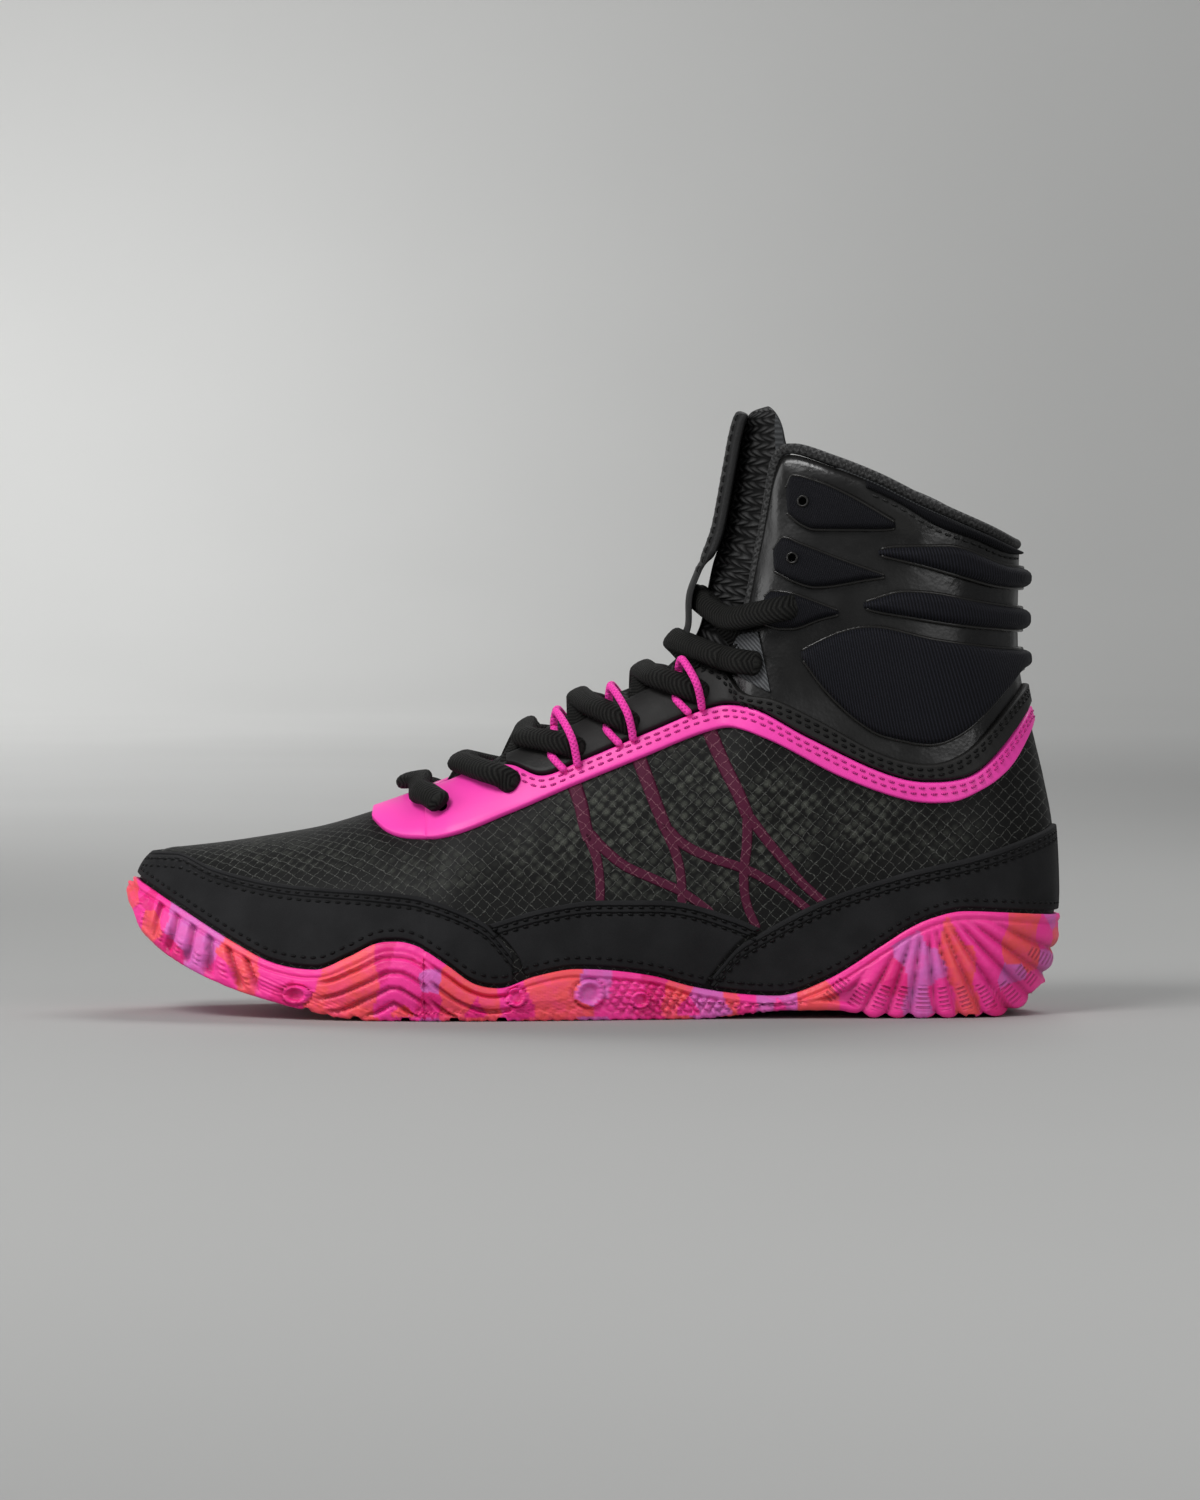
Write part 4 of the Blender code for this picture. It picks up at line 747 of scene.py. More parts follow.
class Finish:
    """A material and its nodes, made one call at a time."""

    def __init__(self, name, roughness=0.5, specular=0.5, sheen=0.0, sheen_roughness=0.5):
        self.material = bpy.data.materials.new(name)
        self.material.use_nodes = True
        self.tree = self.material.node_tree
        self.shader = self.tree.nodes["Principled BSDF"]
        for socket, value in (("Roughness", roughness), ("Specular IOR Level", specular),
                              ("Sheen Weight", sheen), ("Sheen Roughness", sheen_roughness)):
            self.shader.inputs[socket].default_value = value

    def node(self, kind, **settings):
        made = self.tree.nodes.new(kind)
        for key, value in settings.items():
            setattr(made, key, value)
        return made

    def put(self, socket, value):
        """Links a socket to another, or sets a number or a colour on it."""
        if isinstance(value, bpy.types.NodeSocket):
            self.tree.links.new(value, socket)
        elif hasattr(value, "__len__") and len(value) == 3 and socket.type == "RGBA":
            socket.default_value = (*value, 1)
        else:
            socket.default_value = value

    def fed(self, kind, *values, **settings):
        """Outputs of a new node whose first sockets are filled in order."""
        made = self.node(kind, **settings)
        for socket, value in zip(made.inputs, values):
            self.put(socket, value)
        return made.outputs

    def named(self, kind, **values):
        """Outputs of a new node whose sockets are filled by their names."""
        made = self.node(kind)
        for socket, value in values.items():
            self.put(made.inputs[socket], value)
        return made.outputs

    def math(self, operation, first, second=0.0, third=0.0):
        return self.fed("ShaderNodeMath", first, second, third, operation=operation)[0]

    def times(self, first, second):
        return self.math("MULTIPLY", first, second)

    def plus(self, first, second):
        return self.math("ADD", first, second)

    def minus(self, first, second):
        return self.math("SUBTRACT", first, second)

    def split(self, vector):
        return self.fed("ShaderNodeSeparateXYZ", vector)

    def join(self, x, y, z=0.0):
        return self.fed("ShaderNodeCombineXYZ", x, y, z)[0]

    def attribute(self, name="cloth"):
        return self.node("ShaderNodeAttribute", attribute_name=name).outputs

    def cloth(self):
        """Run, width and rest of the surface's own coordinates, in millimetres."""
        return self.split(self.attribute()["Vector"])

    def place(self):
        return self.node("ShaderNodeTexCoord").outputs["Object"]

    def noise(self, vector, scale, detail=2.0, roughness=0.5):
        return self.named("ShaderNodeTexNoise", Vector=vector, Scale=scale, Detail=detail,
                          Roughness=roughness)["Fac"]

    def cells(self, vector, scale, randomness=1.0):
        return self.named("ShaderNodeTexVoronoi", Vector=vector, Scale=scale, Randomness=randomness)

    def band(self, value, low, high, to_low=0.0, to_high=1.0):
        """Smooth step of a value between low and high."""
        return self.fed("ShaderNodeMapRange", value, low, high, to_low, to_high,
                        interpolation_type="SMOOTHSTEP")[0]

    def mix(self, share, first, second):
        made = self.node("ShaderNodeMix", data_type="RGBA")
        for name, value in (("Factor_Float", share), ("A_Color", first), ("B_Color", second)):
            self.put(next(s for s in made.inputs if s.identifier == name), value)
        return next(s for s in made.outputs if s.identifier == "Result_Color")

    def wave(self, value, period):
        """From 0 in a rib's valley to 1 on its crest, once a period."""
        turned = self.math("SINE", self.times(value, 2 * math.pi / period))
        return self.math("MULTIPLY_ADD", turned, 0.5, 0.5)

    def bump(self, height, distance, strength=1.0, below=None):
        under = {} if below is None else {"Normal": below}
        return self.named("ShaderNodeBump", Strength=strength, Distance=distance, Height=height,
                          **under)[0]

    def finish(self, colour, normal=None, roughness=None):
        for name, value in (("Base Color", colour), ("Normal", normal), ("Roughness", roughness)):
            if value is not None:
                self.put(self.shader.inputs[name], value)
        return self.material


def shade(colour, share):
    """The colour made lighter or darker by a share."""
    return tuple(min(channel * share, 1.0) for channel in colour)


def lattice_lines(finish, u, v, cell):
    """Thin lines of a diamond lattice, uneven in strength: 0 between threads and 1 on them."""
    wander = finish.noise(finish.join(u, v), 0.30, 2.0)
    ragged = finish.noise(finish.join(u, v), 1.6, 2.0)
    wobble = finish.math("MULTIPLY_ADD", wander, 2.4, finish.times(ragged, 0.5))
    lines = []
    for slope in (1.05, -0.95):
        run = finish.math("MULTIPLY_ADD", v, slope, finish.plus(u, wobble))
        cut = finish.math("ABSOLUTE", finish.minus(finish.math(
            "FRACT", finish.math("DIVIDE", run, cell / MM)), 0.5))
        lines.append(finish.band(cut, 0.438, 0.478))
    return finish.math("MAXIMUM", *lines)


def ripstop(name, base, knit=None, thread=None):
    """Black mesh with a grey diamond lattice, over a scale-like knit that shows in patches."""
    finish = Finish(name, roughness=0.55, specular=0.16)
    u, v, patch = finish.cloth()
    lines = lattice_lines(finish, u, v, sizes().lattice)
    weave = finish.noise(finish.join(u, v), 4.5, 1.0)
    colour = finish.mix(weave, shade(base, 0.5), shade(base, 1.5))
    height = finish.times(weave, 0.2)
    if knit is not None:
        scale = finish.join(finish.math("DIVIDE", finish.plus(u, v), 4.3),
                            finish.math("DIVIDE", finish.minus(v, u), 3.7))
        cell = finish.cells(scale, 1.0, 0.38)
        speck = finish.noise(finish.join(u, v), 2.6, 3.0, 0.7)
        body = finish.times(finish.band(cell["Distance"], 0.60, 0.12),
                           finish.band(speck, 0.30, 0.62, 0.35, 1.0))
        tint = finish.node("ShaderNodeSeparateColor")
        finish.put(tint.inputs[0], cell["Color"])
        body = finish.times(body, finish.band(tint.outputs[0], 0.0, 1.0, 0.45, 1.0))
        shown = finish.times(body, patch)
        colour = finish.mix(shown, colour, knit)
        height = finish.plus(height, finish.times(shown, 0.8))
    strength = finish.times(lines, finish.band(finish.noise(finish.join(u, v), 1.3, 3.0, 0.7),
                                                           0.38, 0.66, 0.10, 0.85))
    colour = finish.mix(strength, colour, thread or colours().thread)
    height = finish.plus(height, finish.times(lines, 0.5))
    return finish.finish(colour, finish.bump(height, 0.00020, 0.8))


def suede(name, base):
    """Matte microfibre: fine nap, faint clouds, and troughs where the two rows of stitches pull."""
    finish = Finish(name, roughness=0.88, specular=0.12, sheen=0.02, sheen_roughness=0.4)
    from_top = finish.cloth()[2]
    place = finish.place()
    nap = finish.noise(place, 2600.0, 3.0, 0.7)
    clouds = finish.noise(place, 90.0, 3.0)
    colour = finish.mix(finish.band(clouds, 0.3, 0.7), shade(base, 0.75), shade(base, 1.25))
    colour = finish.mix(finish.times(nap, 0.5), colour, shade(base, 2.1))
    rows = [finish.band(finish.math("ABSOLUTE", finish.minus(from_top, at / MM)), 0.0, 0.8,
                        1.0, 0.0) for at in RAND_ROWS]
    pull = finish.times(finish.math("MAXIMUM", *rows), -1.0)
    nap_bump = finish.bump(nap, 0.00012, 0.9)
    return finish.finish(colour, finish.bump(pull, 0.0011, 1.0, nap_bump))


def film(name, base):
    """Smooth bonded film, with a faint grain and faint clouds."""
    finish = Finish(name, roughness=0.43, specular=0.45)
    grain = finish.noise(finish.place(), 1400.0, 2.0)
    clouds = finish.noise(finish.place(), 60.0, 2.0)
    colour = finish.mix(clouds, shade(base, 0.95), base)
    return finish.finish(colour, finish.bump(grain, 0.00005, 0.5))


def leather(name, base, roughness=0.36, grains=900.0, depth=0.00006, specular=0.32):
    """Satin coated leather: a pebbled grain, grains to a metre, and broad soft unevenness."""
    finish = Finish(name, roughness=roughness, specular=specular)
    place = finish.place()
    grain = finish.cells(place, grains)["Distance"]
    broad = finish.noise(place, 55.0, 3.0)
    colour = finish.mix(finish.noise(place, 160.0, 4.0), shade(base, 0.8), shade(base, 1.5))
    gloss = finish.band(broad, 0.3, 0.7, roughness - 0.06, roughness + 0.10)
    soft = finish.bump(broad, 0.0016, 0.5)
    return finish.finish(colour, finish.bump(grain, depth, 0.6, soft), gloss)


def ribbed(name, base, period, slant=0.0, depth=0.00022, light=2.6, roughness=0.8):
    """Fabric of fine parallel ribs across its run, turned by a slant."""
    finish = Finish(name, roughness=roughness, specular=0.14, sheen=0.01)
    u, v, _ = finish.cloth()
    run = finish.math("MULTIPLY_ADD", v, slant, u)
    rib = finish.wave(run, period)
    fuzz = finish.noise(finish.join(u, v), 4.0, 3.0, 0.7)
    colour = finish.mix(finish.times(rib, fuzz), shade(base, 0.55), shade(base, light))
    height = finish.plus(rib, finish.times(fuzz, 0.4))
    return finish.finish(colour, finish.bump(height, depth, 0.9))


def spacer_mesh(name, base):
    """Thick spacer mesh: rows of plump knitted loops that lean in turn, with dark holes between."""
    finish = Finish(name, roughness=0.7, specular=0.15)
    u, v, _ = finish.cloth()
    row = finish.math("DIVIDE", u, 2.3)
    lean = finish.times(finish.wave(u, 4.6), 1.9)
    column = finish.math("DIVIDE", finish.plus(v, lean), 1.9)
    loop = finish.cells(finish.join(row, column), 1.0, 0.32)["Distance"]
    plump = finish.band(loop, 0.62, 0.10)
    strand = finish.noise(finish.join(u, v), 3.2, 2.0)
    colour = finish.mix(finish.times(plump, finish.band(strand, 0.2, 0.8, 0.5, 1.0)),
                        shade(base, 0.10), shade(base, 6.0))
    return finish.finish(colour, finish.bump(plump, 0.0007, 1.0))


def woven_lace(name, base):
    """Flat woven lace: slanted ribs that meet along its middle, and fine threads across."""
    finish = Finish(name, roughness=0.72, specular=0.14)
    u, v, turn = finish.cloth()
    fold = finish.math("ABSOLUTE", finish.minus(finish.math("FRACT", finish.times(turn, 2.0)), 0.5))
    run = finish.math("MULTIPLY_ADD", fold, 6.0, u)
    rib = finish.wave(run, 1.35)
    fuzz = finish.noise(finish.join(u, v), 2.6, 3.0, 0.7)
    colour = finish.mix(finish.times(rib, fuzz), shade(base, 0.5), shade(base, 5.5))
    height = finish.plus(rib, finish.times(fuzz, 1.2))
    return finish.finish(colour, finish.bump(height, 0.00042, 1.0))


def braided(name, base, pitch=1.1, light=1.25, dark=0.6, depth=0.00020):
    """Round braided cord: two sets of slanted strands over each other."""
    finish = Finish(name, roughness=0.62, specular=0.2)
    u, v, turn = finish.cloth()
    one = finish.wave(finish.math("MULTIPLY_ADD", turn, 4 * pitch, u), pitch)
    two = finish.wave(finish.math("MULTIPLY_ADD", turn, -4 * pitch, u), pitch)
    strands = finish.math("MAXIMUM", one, two)
    colour = finish.mix(strands, shade(base, dark), shade(base, light))
    return finish.finish(colour, finish.bump(strands, depth, 0.9))


def plain_thread(name, base):
    """Sewing thread, its twist as fine ribs."""
    finish = Finish(name, roughness=0.6, specular=0.16)
    u = finish.cloth()[0]
    ply = finish.wave(u, 0.6)
    return finish.finish(finish.mix(ply, shade(base, 0.6), shade(base, 1.5)),
                         finish.bump(ply, 0.00006, 0.6))


def hole_shade_finish(name):
    """Unlit black of a small hole: painted shade that stands in for the shade inside it."""
    finish = Finish(name, roughness=1.0, specular=0.0)
    speck = finish.noise(finish.place(), 2000.0)
    return finish.finish(finish.mix(speck, (0.0005, 0.0005, 0.0005), (0.0015, 0.0015, 0.0015)))


def marbled_rubber(name):
    """Moulded rubber in four blended colours, kept on the mesh, with a fine moulded texture."""
    finish = Finish(name, roughness=0.48, specular=0.42)
    place = finish.place()
    # The kept colours include painted shade in the moulded grooves
    paint = finish.attribute("rubber")["Color"]
    clouds = finish.noise(place, 220.0, 3.0, 0.6)
    colour = finish.mix(finish.band(clouds, 0.35, 0.75, 0.0, 0.35), paint, colours().rubber_pink)
    grain = finish.cells(place, 1250.0, 0.4)["Distance"]
    x, y, z = finish.split(place)
    apex, level = place_of(*FAN_APEX)
    squares = [finish.math("POWER", finish.minus(value, float(middle)), 2.0)
               for value, middle in ((x, apex), (z, level))]
    away = finish.math("SQRT", finish.plus(*squares))
    rungs = finish.band(finish.wave(finish.times(away, 1 / MM), 1.35), 0.50, 0.72)
    rungs = finish.times(rungs, finish.attribute("rungs")["Fac"])
    # Painted shade: the rungs cut in the heel's fan are darkened towards a dim magenta
    colour = finish.mix(finish.times(rungs, 0.55), colour, shade(colours().rubber_magenta, 0.35))
    height = finish.times(rungs, -1.0)
    return finish.finish(colour, finish.bump(grain, 0.00010, 0.5, finish.bump(height, 0.0009, 1.0)))


def add_sheet(name, finish, slot, low, high, start, end, height, radius, nodes, rows=8, crown=0.0,
              count=160, open_ends=(), only=None):
    """A layer of the upper on both sides, between two edges and two stations."""
    grids = []
    for side, _ in SIDES:
        if only is None or side == only:
            columns = end_columns(start, end, count, low, high, side, radius)
            grids += blanket(columns, low, high, side, height, radius, rows, crown, open_ends)
    return add_grids(name, grids, finish, slot, *nodes)


def add_threads(name, finish, slot, paths, radius):
    """One mesh of all the stitches along several paths."""
    grids = [grid for path, face in paths for grid in stitches(path, face, radius)]
    return add_piece(name, make_mesh(name, grids, [finish]), slot)


def knit_strength(points):
    """How strongly the knit shows through the mesh: soft blobs at their places of the picture."""
    across, down = pixels_of(points)
    total = np.zeros(across.shape)
    for x, y, wide, high, strength in KNIT_PATCHES:
        ragged = 1 + 0.30 * noise_of(across / 17.0, down / 13.0)
        away = ((across - x) / wide) ** 2 + ((down - y) / high) ** 2
        total = np.maximum(total, strength * np.exp(-(away * ragged) ** 3 * 0.9))
    return total


def mesh_coords(station, points):
    """Lattice coordinates in millimetres: along the shoe, and over the skin from the feather, which
    turns over the vamp into the way down from the top line so that the cells stay square."""
    steps = np.linalg.norm(np.diff(points, axis=1), axis=2)
    climbed = np.concatenate([np.zeros((len(points), 1)), np.cumsum(steps, axis=1)], axis=1) / MM
    whole = climbed[:, -1]
    ahead = station < THROAT_STATION
    whole = np.where(ahead, whole, whole[ahead][-1])
    return np.stack([points[..., 0] / MM, climbed - whole[:, None], knit_strength(points)], axis=-1)


def build_upper():
    """Quarters, vamp and shaft as one skin with its wall: mesh below the eyestay, leather above."""
    station = np.linspace(0, 1, sizes().station_count)
    arc = np.linspace(0, 1, 66)
    grids = []
    for side, _ in SIDES:
        climb = climb_at(station[:, None], arc[None])
        points = lifted(station[:, None], climb, side, 0.0)
        middle = (points[1:, 1:] + points[:-1, :-1]) / 2
        seam = line_height(ANKLE_SEAM, middle[..., 0]) - 0.0012
        behind = middle[..., 0] > place_of(ANKLE_SEAM[0][0], 0)[0]
        slots = np.where(behind & (middle[..., 2] > seam), 1, 0)
        grids.append((points, mesh_coords(station, points), side == INNER, slots))
    lining = ribbed("lining_cloth", colours().lining, period=1.7, slant=0.8, light=1.6)
    finishes = [ripstop("ripstop_mesh", colours().ripstop, colours().knit),
                leather("shaft_leather", colours().leather, roughness=0.29, specular=0.5), lining, lining]
    mesh = make_mesh("upper", grids, finishes)
    piece = add_piece("upper_skin", mesh, "quarter", "upper")
    wall = piece.modifiers.new("wall", "SOLIDIFY")
    wall.thickness = UPPER_WALL
    wall.offset = -1
    wall.material_offset = 2
    wall.material_offset_rim = 2
    wall.use_even_offset = False


def build_straps():
    """Burgundy straps under the mesh, thin ribbons with the same lattice over them."""
    finish = ripstop("strap_mesh", colours().strap, thread=(0.26, 0.11, 0.14))
    grids = []
    for widths, places in UNDER_STRAPS:
        for side, _ in SIDES:
            line = spline(places, 60)
            way = unit(np.gradient(line, axis=0))
            off = np.column_stack([-way[:, 1], way[:, 0]])
            share = np.linspace(0, 1, len(line))
            half = (widths[0] + (widths[1] - widths[0]) * share) * PIXELS_PER_MM
            half = half * np.clip(np.minimum(share, 1 - share) / 0.03, 0.05, 1) ** 0.5
            cut = np.linspace(-1, 1, 7)
            flat = line[:, None] + off[:, None] * cut[None, :, None] * half[:, None, None]
            grids += thin_sheet(flat, side, 0.00012 + 0.00006 * (1 - cut[None] ** 4), -0.0002)
    add_grids("under_straps", grids, finish, "quarter")


def thin_sheet(flat, side, lift, sink):
    """Closed sheet over the skin at a grid of places of the picture, from sink up to lift. Its lower
    face takes the upper one's border."""
    station, climb = spots(flat)
    top = lifted(station, climb, side, lift)
    under = lifted(station, climb, side, sink)
    under[0], under[-1], under[:, 0], under[:, -1] = top[0], top[-1], top[:, 0], top[:, -1]
    coords = np.stack([top[..., 0] / MM, top[..., 2] / MM, 0 * climb], axis=-1)
    return [(top, coords, side == INNER, 0), (under, coords, side == OUTER, 0)]


def build_rands():
    """Three charcoal pieces round the foot of the upper, with their rows of stitches."""
    finish = suede("rand_suede", colours().suede)
    thread = plain_thread("rand_thread", (0.0022, 0.0022, 0.0024))
    wave = edge(SOLE_WAVE, 2 * RIM_GAP)

    def mid_low(columns, side):
        return np.maximum(wave(columns, side), climb_of(MID_RAND_ENDS, columns, side))

    size = sizes()
    toe_end = station_near((514, 950))
    mid = station_near((490, 922)), station_near((758, 924))
    heel = station_near((710, 972))
    parts = (("toe_rand", wave, TOE_RAND_TOP, 0.0, toe_end, (0,), 380),
             ("mid_rand", mid_low, MID_RAND_TOP, *mid, (), 200),
             ("heel_rand", wave, HEEL_RAND_TOP, heel, 1.0, (1,), 260))
    rows = []
    for name, low, top, start, end, open_ends, count in parts:
        nodes = (name,) if name != "mid_rand" else ("mid_rand_lateral", "mid_rand_medial")
        height = size.rand if name != "mid_rand" else size.rand * 0.9
        add_sheet(name + "_cloth", finish, "rand", low, edge(top), start, end, height, radius=0.0007,
                  nodes=nodes, rows=12, count=count, open_ends=open_ends)
        inset = 0.006 * (end - start)
        for side, _ in SIDES:
            first = start + (0.012 if 0 in open_ends else inset)
            last = end - (0.004 if 1 in open_ends else inset)
            for down in RAND_ROWS:
                rows.append(along_edge(top, first, last, side, height - 0.0002, down, count * 3))
            rows.append(along_edge(SOLE_WAVE, first, last, side, height - 0.0002, -0.0034, count * 3))
    add_threads("rand_stitches", thread, "rand", rows, size.stitch_radius)


def build_band():
    """Bonded pink band with two rows of stitches below its upper edge."""
    size = sizes()
    finish = film("pink_film", colours().pink)
    thread = plain_thread("band_thread", shade(colours().pink, 0.5))
    start = station_near((374, 811))
    add_sheet("pink_band_film", finish, "film", edge(BAND_BOTTOM), edge(BAND_TOP), start, 1.0,
              size.band, radius=0.0007, nodes=("pink_band",), rows=10, count=360, open_ends=(1,))
    rows = []
    for side, _ in SIDES:
        for down in TRIM_ROWS:
            rows.append(along_edge(BAND_TOP, station_near((505, 768)), 1.0, side, size.band, down, 1200))
    add_threads("band_stitches", thread, "film", rows, size.stitch_radius * 0.8)


def build_eyestay():
    """Black facing round the throat and over the ankle, with double rows of stitches."""
    size = sizes()
    finish = leather("facing_leather", shade(colours().leather, 2.2), roughness=0.58, grains=1300.0)
    thread = plain_thread("facing_thread", (0.0026, 0.0026, 0.0026))
    start = station_near((508, 764))
    add_sheet("eyestay_leather", finish, "eyestay", edge(BAND_TOP, 0.0004), edge(ANKLE_SEAM), start,
              1.0, size.facing, radius=0.0008, nodes=("eyestay",), rows=10, count=360, open_ends=(1,))
    rows = []
    for side, _ in SIDES:
        for down in TRIM_ROWS:
            first = station_near((668, 652))
            rows.append(along_edge(ANKLE_SEAM, first, 0.99, side, size.facing - 0.0001, down, 1200))
        columns = np.linspace(start + 0.01, throat_station(0.66), 300)
        line, away = edge_frame(columns, side)
        up = normal_at(columns, 1.0, side)
        rows.append((line - away * 0.0030 + up * (size.facing - 0.0002), up))
    add_threads("facing_stitches", thread, "eyestay", rows, size.stitch_radius)


def build_pads():
    """Ankle pad and the two ribs above it, each a padded pod with a bound upper edge."""
    size = sizes()
    finish = ribbed("pad_fabric", colours().pad, period=0.95, slant=0.12, depth=0.0003, light=6.0,
                    roughness=0.7)
    # Partly painted highlight: the binding is the shaft leather made three times lighter, so its glossy
    # raised edges read bright
    binding = leather("pad_binding", shade(colours().leather, 3.0), roughness=0.24)
    parts = (("ankle_pad", PAD_BOTTOM, PAD_TOP, (799, 655), size.pad, 0.0019, 0.25),
             ("rib_low", RIB_LOW_BOTTOM, RIB_LOW_TOP, (860, 604), size.rib, 0.0024, 0.15),
             ("rib_high", RIB_HIGH_BOTTOM, RIB_HIGH_TOP, (875, 552), size.rib, 0.0024, 0.15))
    cords = []
    for name, bottom, top, front, height, radius, crown in parts:
        start = station_near(front)
        piece = add_sheet(name + "_cloth", finish, "pad", edge(bottom), edge(top), start, 1.0, height,
                          radius, (name,), rows=10, crown=crown, count=200, open_ends=(1,))
        for side, _ in SIDES:
            for line in (top, bottom):
                path, up = along_edge(line, start + 0.004, 1.0, side, height * 0.30, count=150)
                cords.append(tube(path, up, 0.0012, 0.0012, sides=8))
    add_grids("pad_bindings", cords, binding, "pad")


def away_from(across, down, line):
    """Distance in pixels from places to a polyline, positive below it."""
    curve = spline(line, 160)
    best = np.full(np.shape(across), np.inf)
    side = np.zeros(np.shape(across))
    for (x0, y0), (x1, y1) in zip(curve[:-1], curve[1:]):
        dx, dy = x1 - x0, y1 - y0
        t = np.clip(((across - x0) * dx + (down - y0) * dy) / (dx * dx + dy * dy), 0, 1)
        gap = np.hypot(across - x0 - t * dx, down - y0 - t * dy)
        side = np.where(gap < best, down - y0 - t * dy, side)
        best = np.minimum(best, gap)
    return best * np.where(side < 0, -1, 1)


def soft_step(value, low, high):
    """From 0 at low to 1 at high, level at both: t * t * (3 - 2 t)."""
    t = np.clip((value - low) / (high - low), 0, 1)
    return t * t * (3 - 2 * t)


def within(value, low, high, soft):
    """1 between low and high, and 0 outside, over soft ends."""
    return soft_step(value, low - soft, low + soft) * (1 - soft_step(value, high - soft, high + soft))


def groove(phase, share):
    """1 in a groove that takes a share of each whole phase, with rounded shoulders."""
    near = abs(phase - np.round(phase)) / share * 2
    return 1 - soft_step(near, 0.55, 1.25)


def fan_rib(across, down):
    """The heel's fan, from 0 in a valley to 1 on a crest: the turn about the apex, bent a little
    with the distance from it, says where each rib stands."""
    angle = np.degrees(np.arctan2(down - FAN_APEX[1], across - FAN_APEX[0]))
    away = np.hypot(across - FAN_APEX[0], down - FAN_APEX[1])
    turn = angle / FAN_PITCH + 0.0016 * (away - 60) * np.sign(90 - angle)
    return abs(np.sin(math.pi * turn)) ** 0.55


def sole_relief(across, down):
    """Depth of the moulded side, as a share of the relief: lip, bars, waves, rings, scales, fan."""
    rim = away_from(across, down, SOLE_WAVE)
    floor = -away_from(across, down, SOLE_BOTTOM)
    body = soft_step(rim, 5.0, 9.0) * soft_step(floor, 3.0, 7.0)
    depth = -0.40 * within(rim, 6.5, 9.0, 1.5)
    lean = np.interp(across, (165, 192, 210, 228, 245, 265), (-0.29, -0.22, -0.12, 0.15, 0.40, 0.50))
    bars = (across - lean * rim) / 16.5
    depth -= 1.25 * groove(bars, 0.36) * body * within(across, *TOE_BARS, 4)
    dots = groove(bars + 0.5, 0.22) * groove(rim / 4.6, 0.6)
    depth += 0.45 * dots * within(floor, 8, 22, 3) * within(across, *TOE_BARS, 4)
    lumps = noise_of(across / 5.5, down / 5.0)
    depth += 0.40 * (soft_step(lumps, -0.1, 0.5) - 0.6) * body * (1 - soft_step(across, 148, 156))
    for first, last, soft, shift in WAVES:
        wave = (rim - 13) / 15.5 + shift
        depth -= 0.95 * groove(wave, 0.30) * body * within(across, first, last, soft)
    rough = within(floor, 0, 13, 3) * within(across, 320, 800, 8)
    depth += 0.30 * noise_of(across / 2.0, down / 2.0) * rough
    rings = 0
    for x, y, wide, high in RINGS:
        away = np.hypot((across - x) / wide, (down - y) / high)
        beads = 0.25 * groove(np.degrees(np.arctan2(down - y, across - x)) / 22.5, 0.5)
        depth += 0.65 * within(away, 0.72, 1.0, 0.12) - beads * within(away, 0.75, 0.97, 0.1)
        depth -= 0.45 * within(away, 0.0, 0.60, 0.1) + 0.8 * within(away, 1.08, 1.22, 0.08)
        rings = np.maximum(rings, 1 - soft_step(away, 1.2, 1.4))
    knurl = np.maximum(groove((across + 0.6 * down) / 9.5, 0.34),
                       groove((across - 1.1 * down) / 10.5, 0.34))
    depth -= 0.6 * knurl * body * within(across, *KNURLS, 8) * (1 - rings)
    hatch = groove((across + 1.2 * down) / 4.2, 0.5) * within(rim, 16, 60, 3)
    depth -= 0.16 * hatch * body * within(across, *HATCHING, 6) * (1 - rings)
    depth -= 0.85 * within(across, *HOLLOW, 6) * within(rim, 16, 400, 3) * soft_step(floor, 7, 11)
    fan = soft_step(across, 836, 870) * soft_step(rim, 3.0, 26.0)
    depth -= 1.45 * (1 - fan_rib(across, down)) * fan
    return depth + 0.05 * noise_of(across / 2.7, down / 2.3)


def rung_mask(across, down):
    """1 on the crests of the fan near the ground, where the rungs are cut."""
    floor = -away_from(across, down, SOLE_BOTTOM)
    low = within(floor, 9, 32, 2.5) * soft_step(across, 812, 836)
    return soft_step(fan_rib(across, down), 0.80, 0.93) * low


def sole_paint(points):
    """Colour of the rubber at each place: that of the nearest block, its edge made ragged; painted shade
    darkens the grooves.
    """
    across, down = pixels_of(points)
    # Painted shade: the deeper the moulded relief at a place, the darker its colour, up to 42 percent
    # darker
    painted_groove_shade = 1 - 0.42 * np.clip(-sole_relief(across, down), 0, 1.2)[:, None]
    under = soft_step(down, 1006, 1011)
    down = down + under * points[:, 1] / MM * 0.9
    across = across + 3.0 * noise_of(across / 17.0, down / 15.0) + 0.5 * noise_of(down / 3.0, across / 3.0)
    down = down + 4.0 * noise_of(down / 19.0 + 3, across / 17.0)
    seeds = np.concatenate([np.array(places, float) for places in SOLE_BLOCKS.values()])
    nearest = np.argmin((across[:, None] - seeds[None, :, 0]) ** 2
                        + 0.45 * (down[:, None] - seeds[None, :, 1]) ** 2, axis=1)
    palette = [getattr(colours(), rubber) for rubber, places in SOLE_BLOCKS.items() for _ in places]
    return np.array(palette)[nearest] * painted_groove_shade


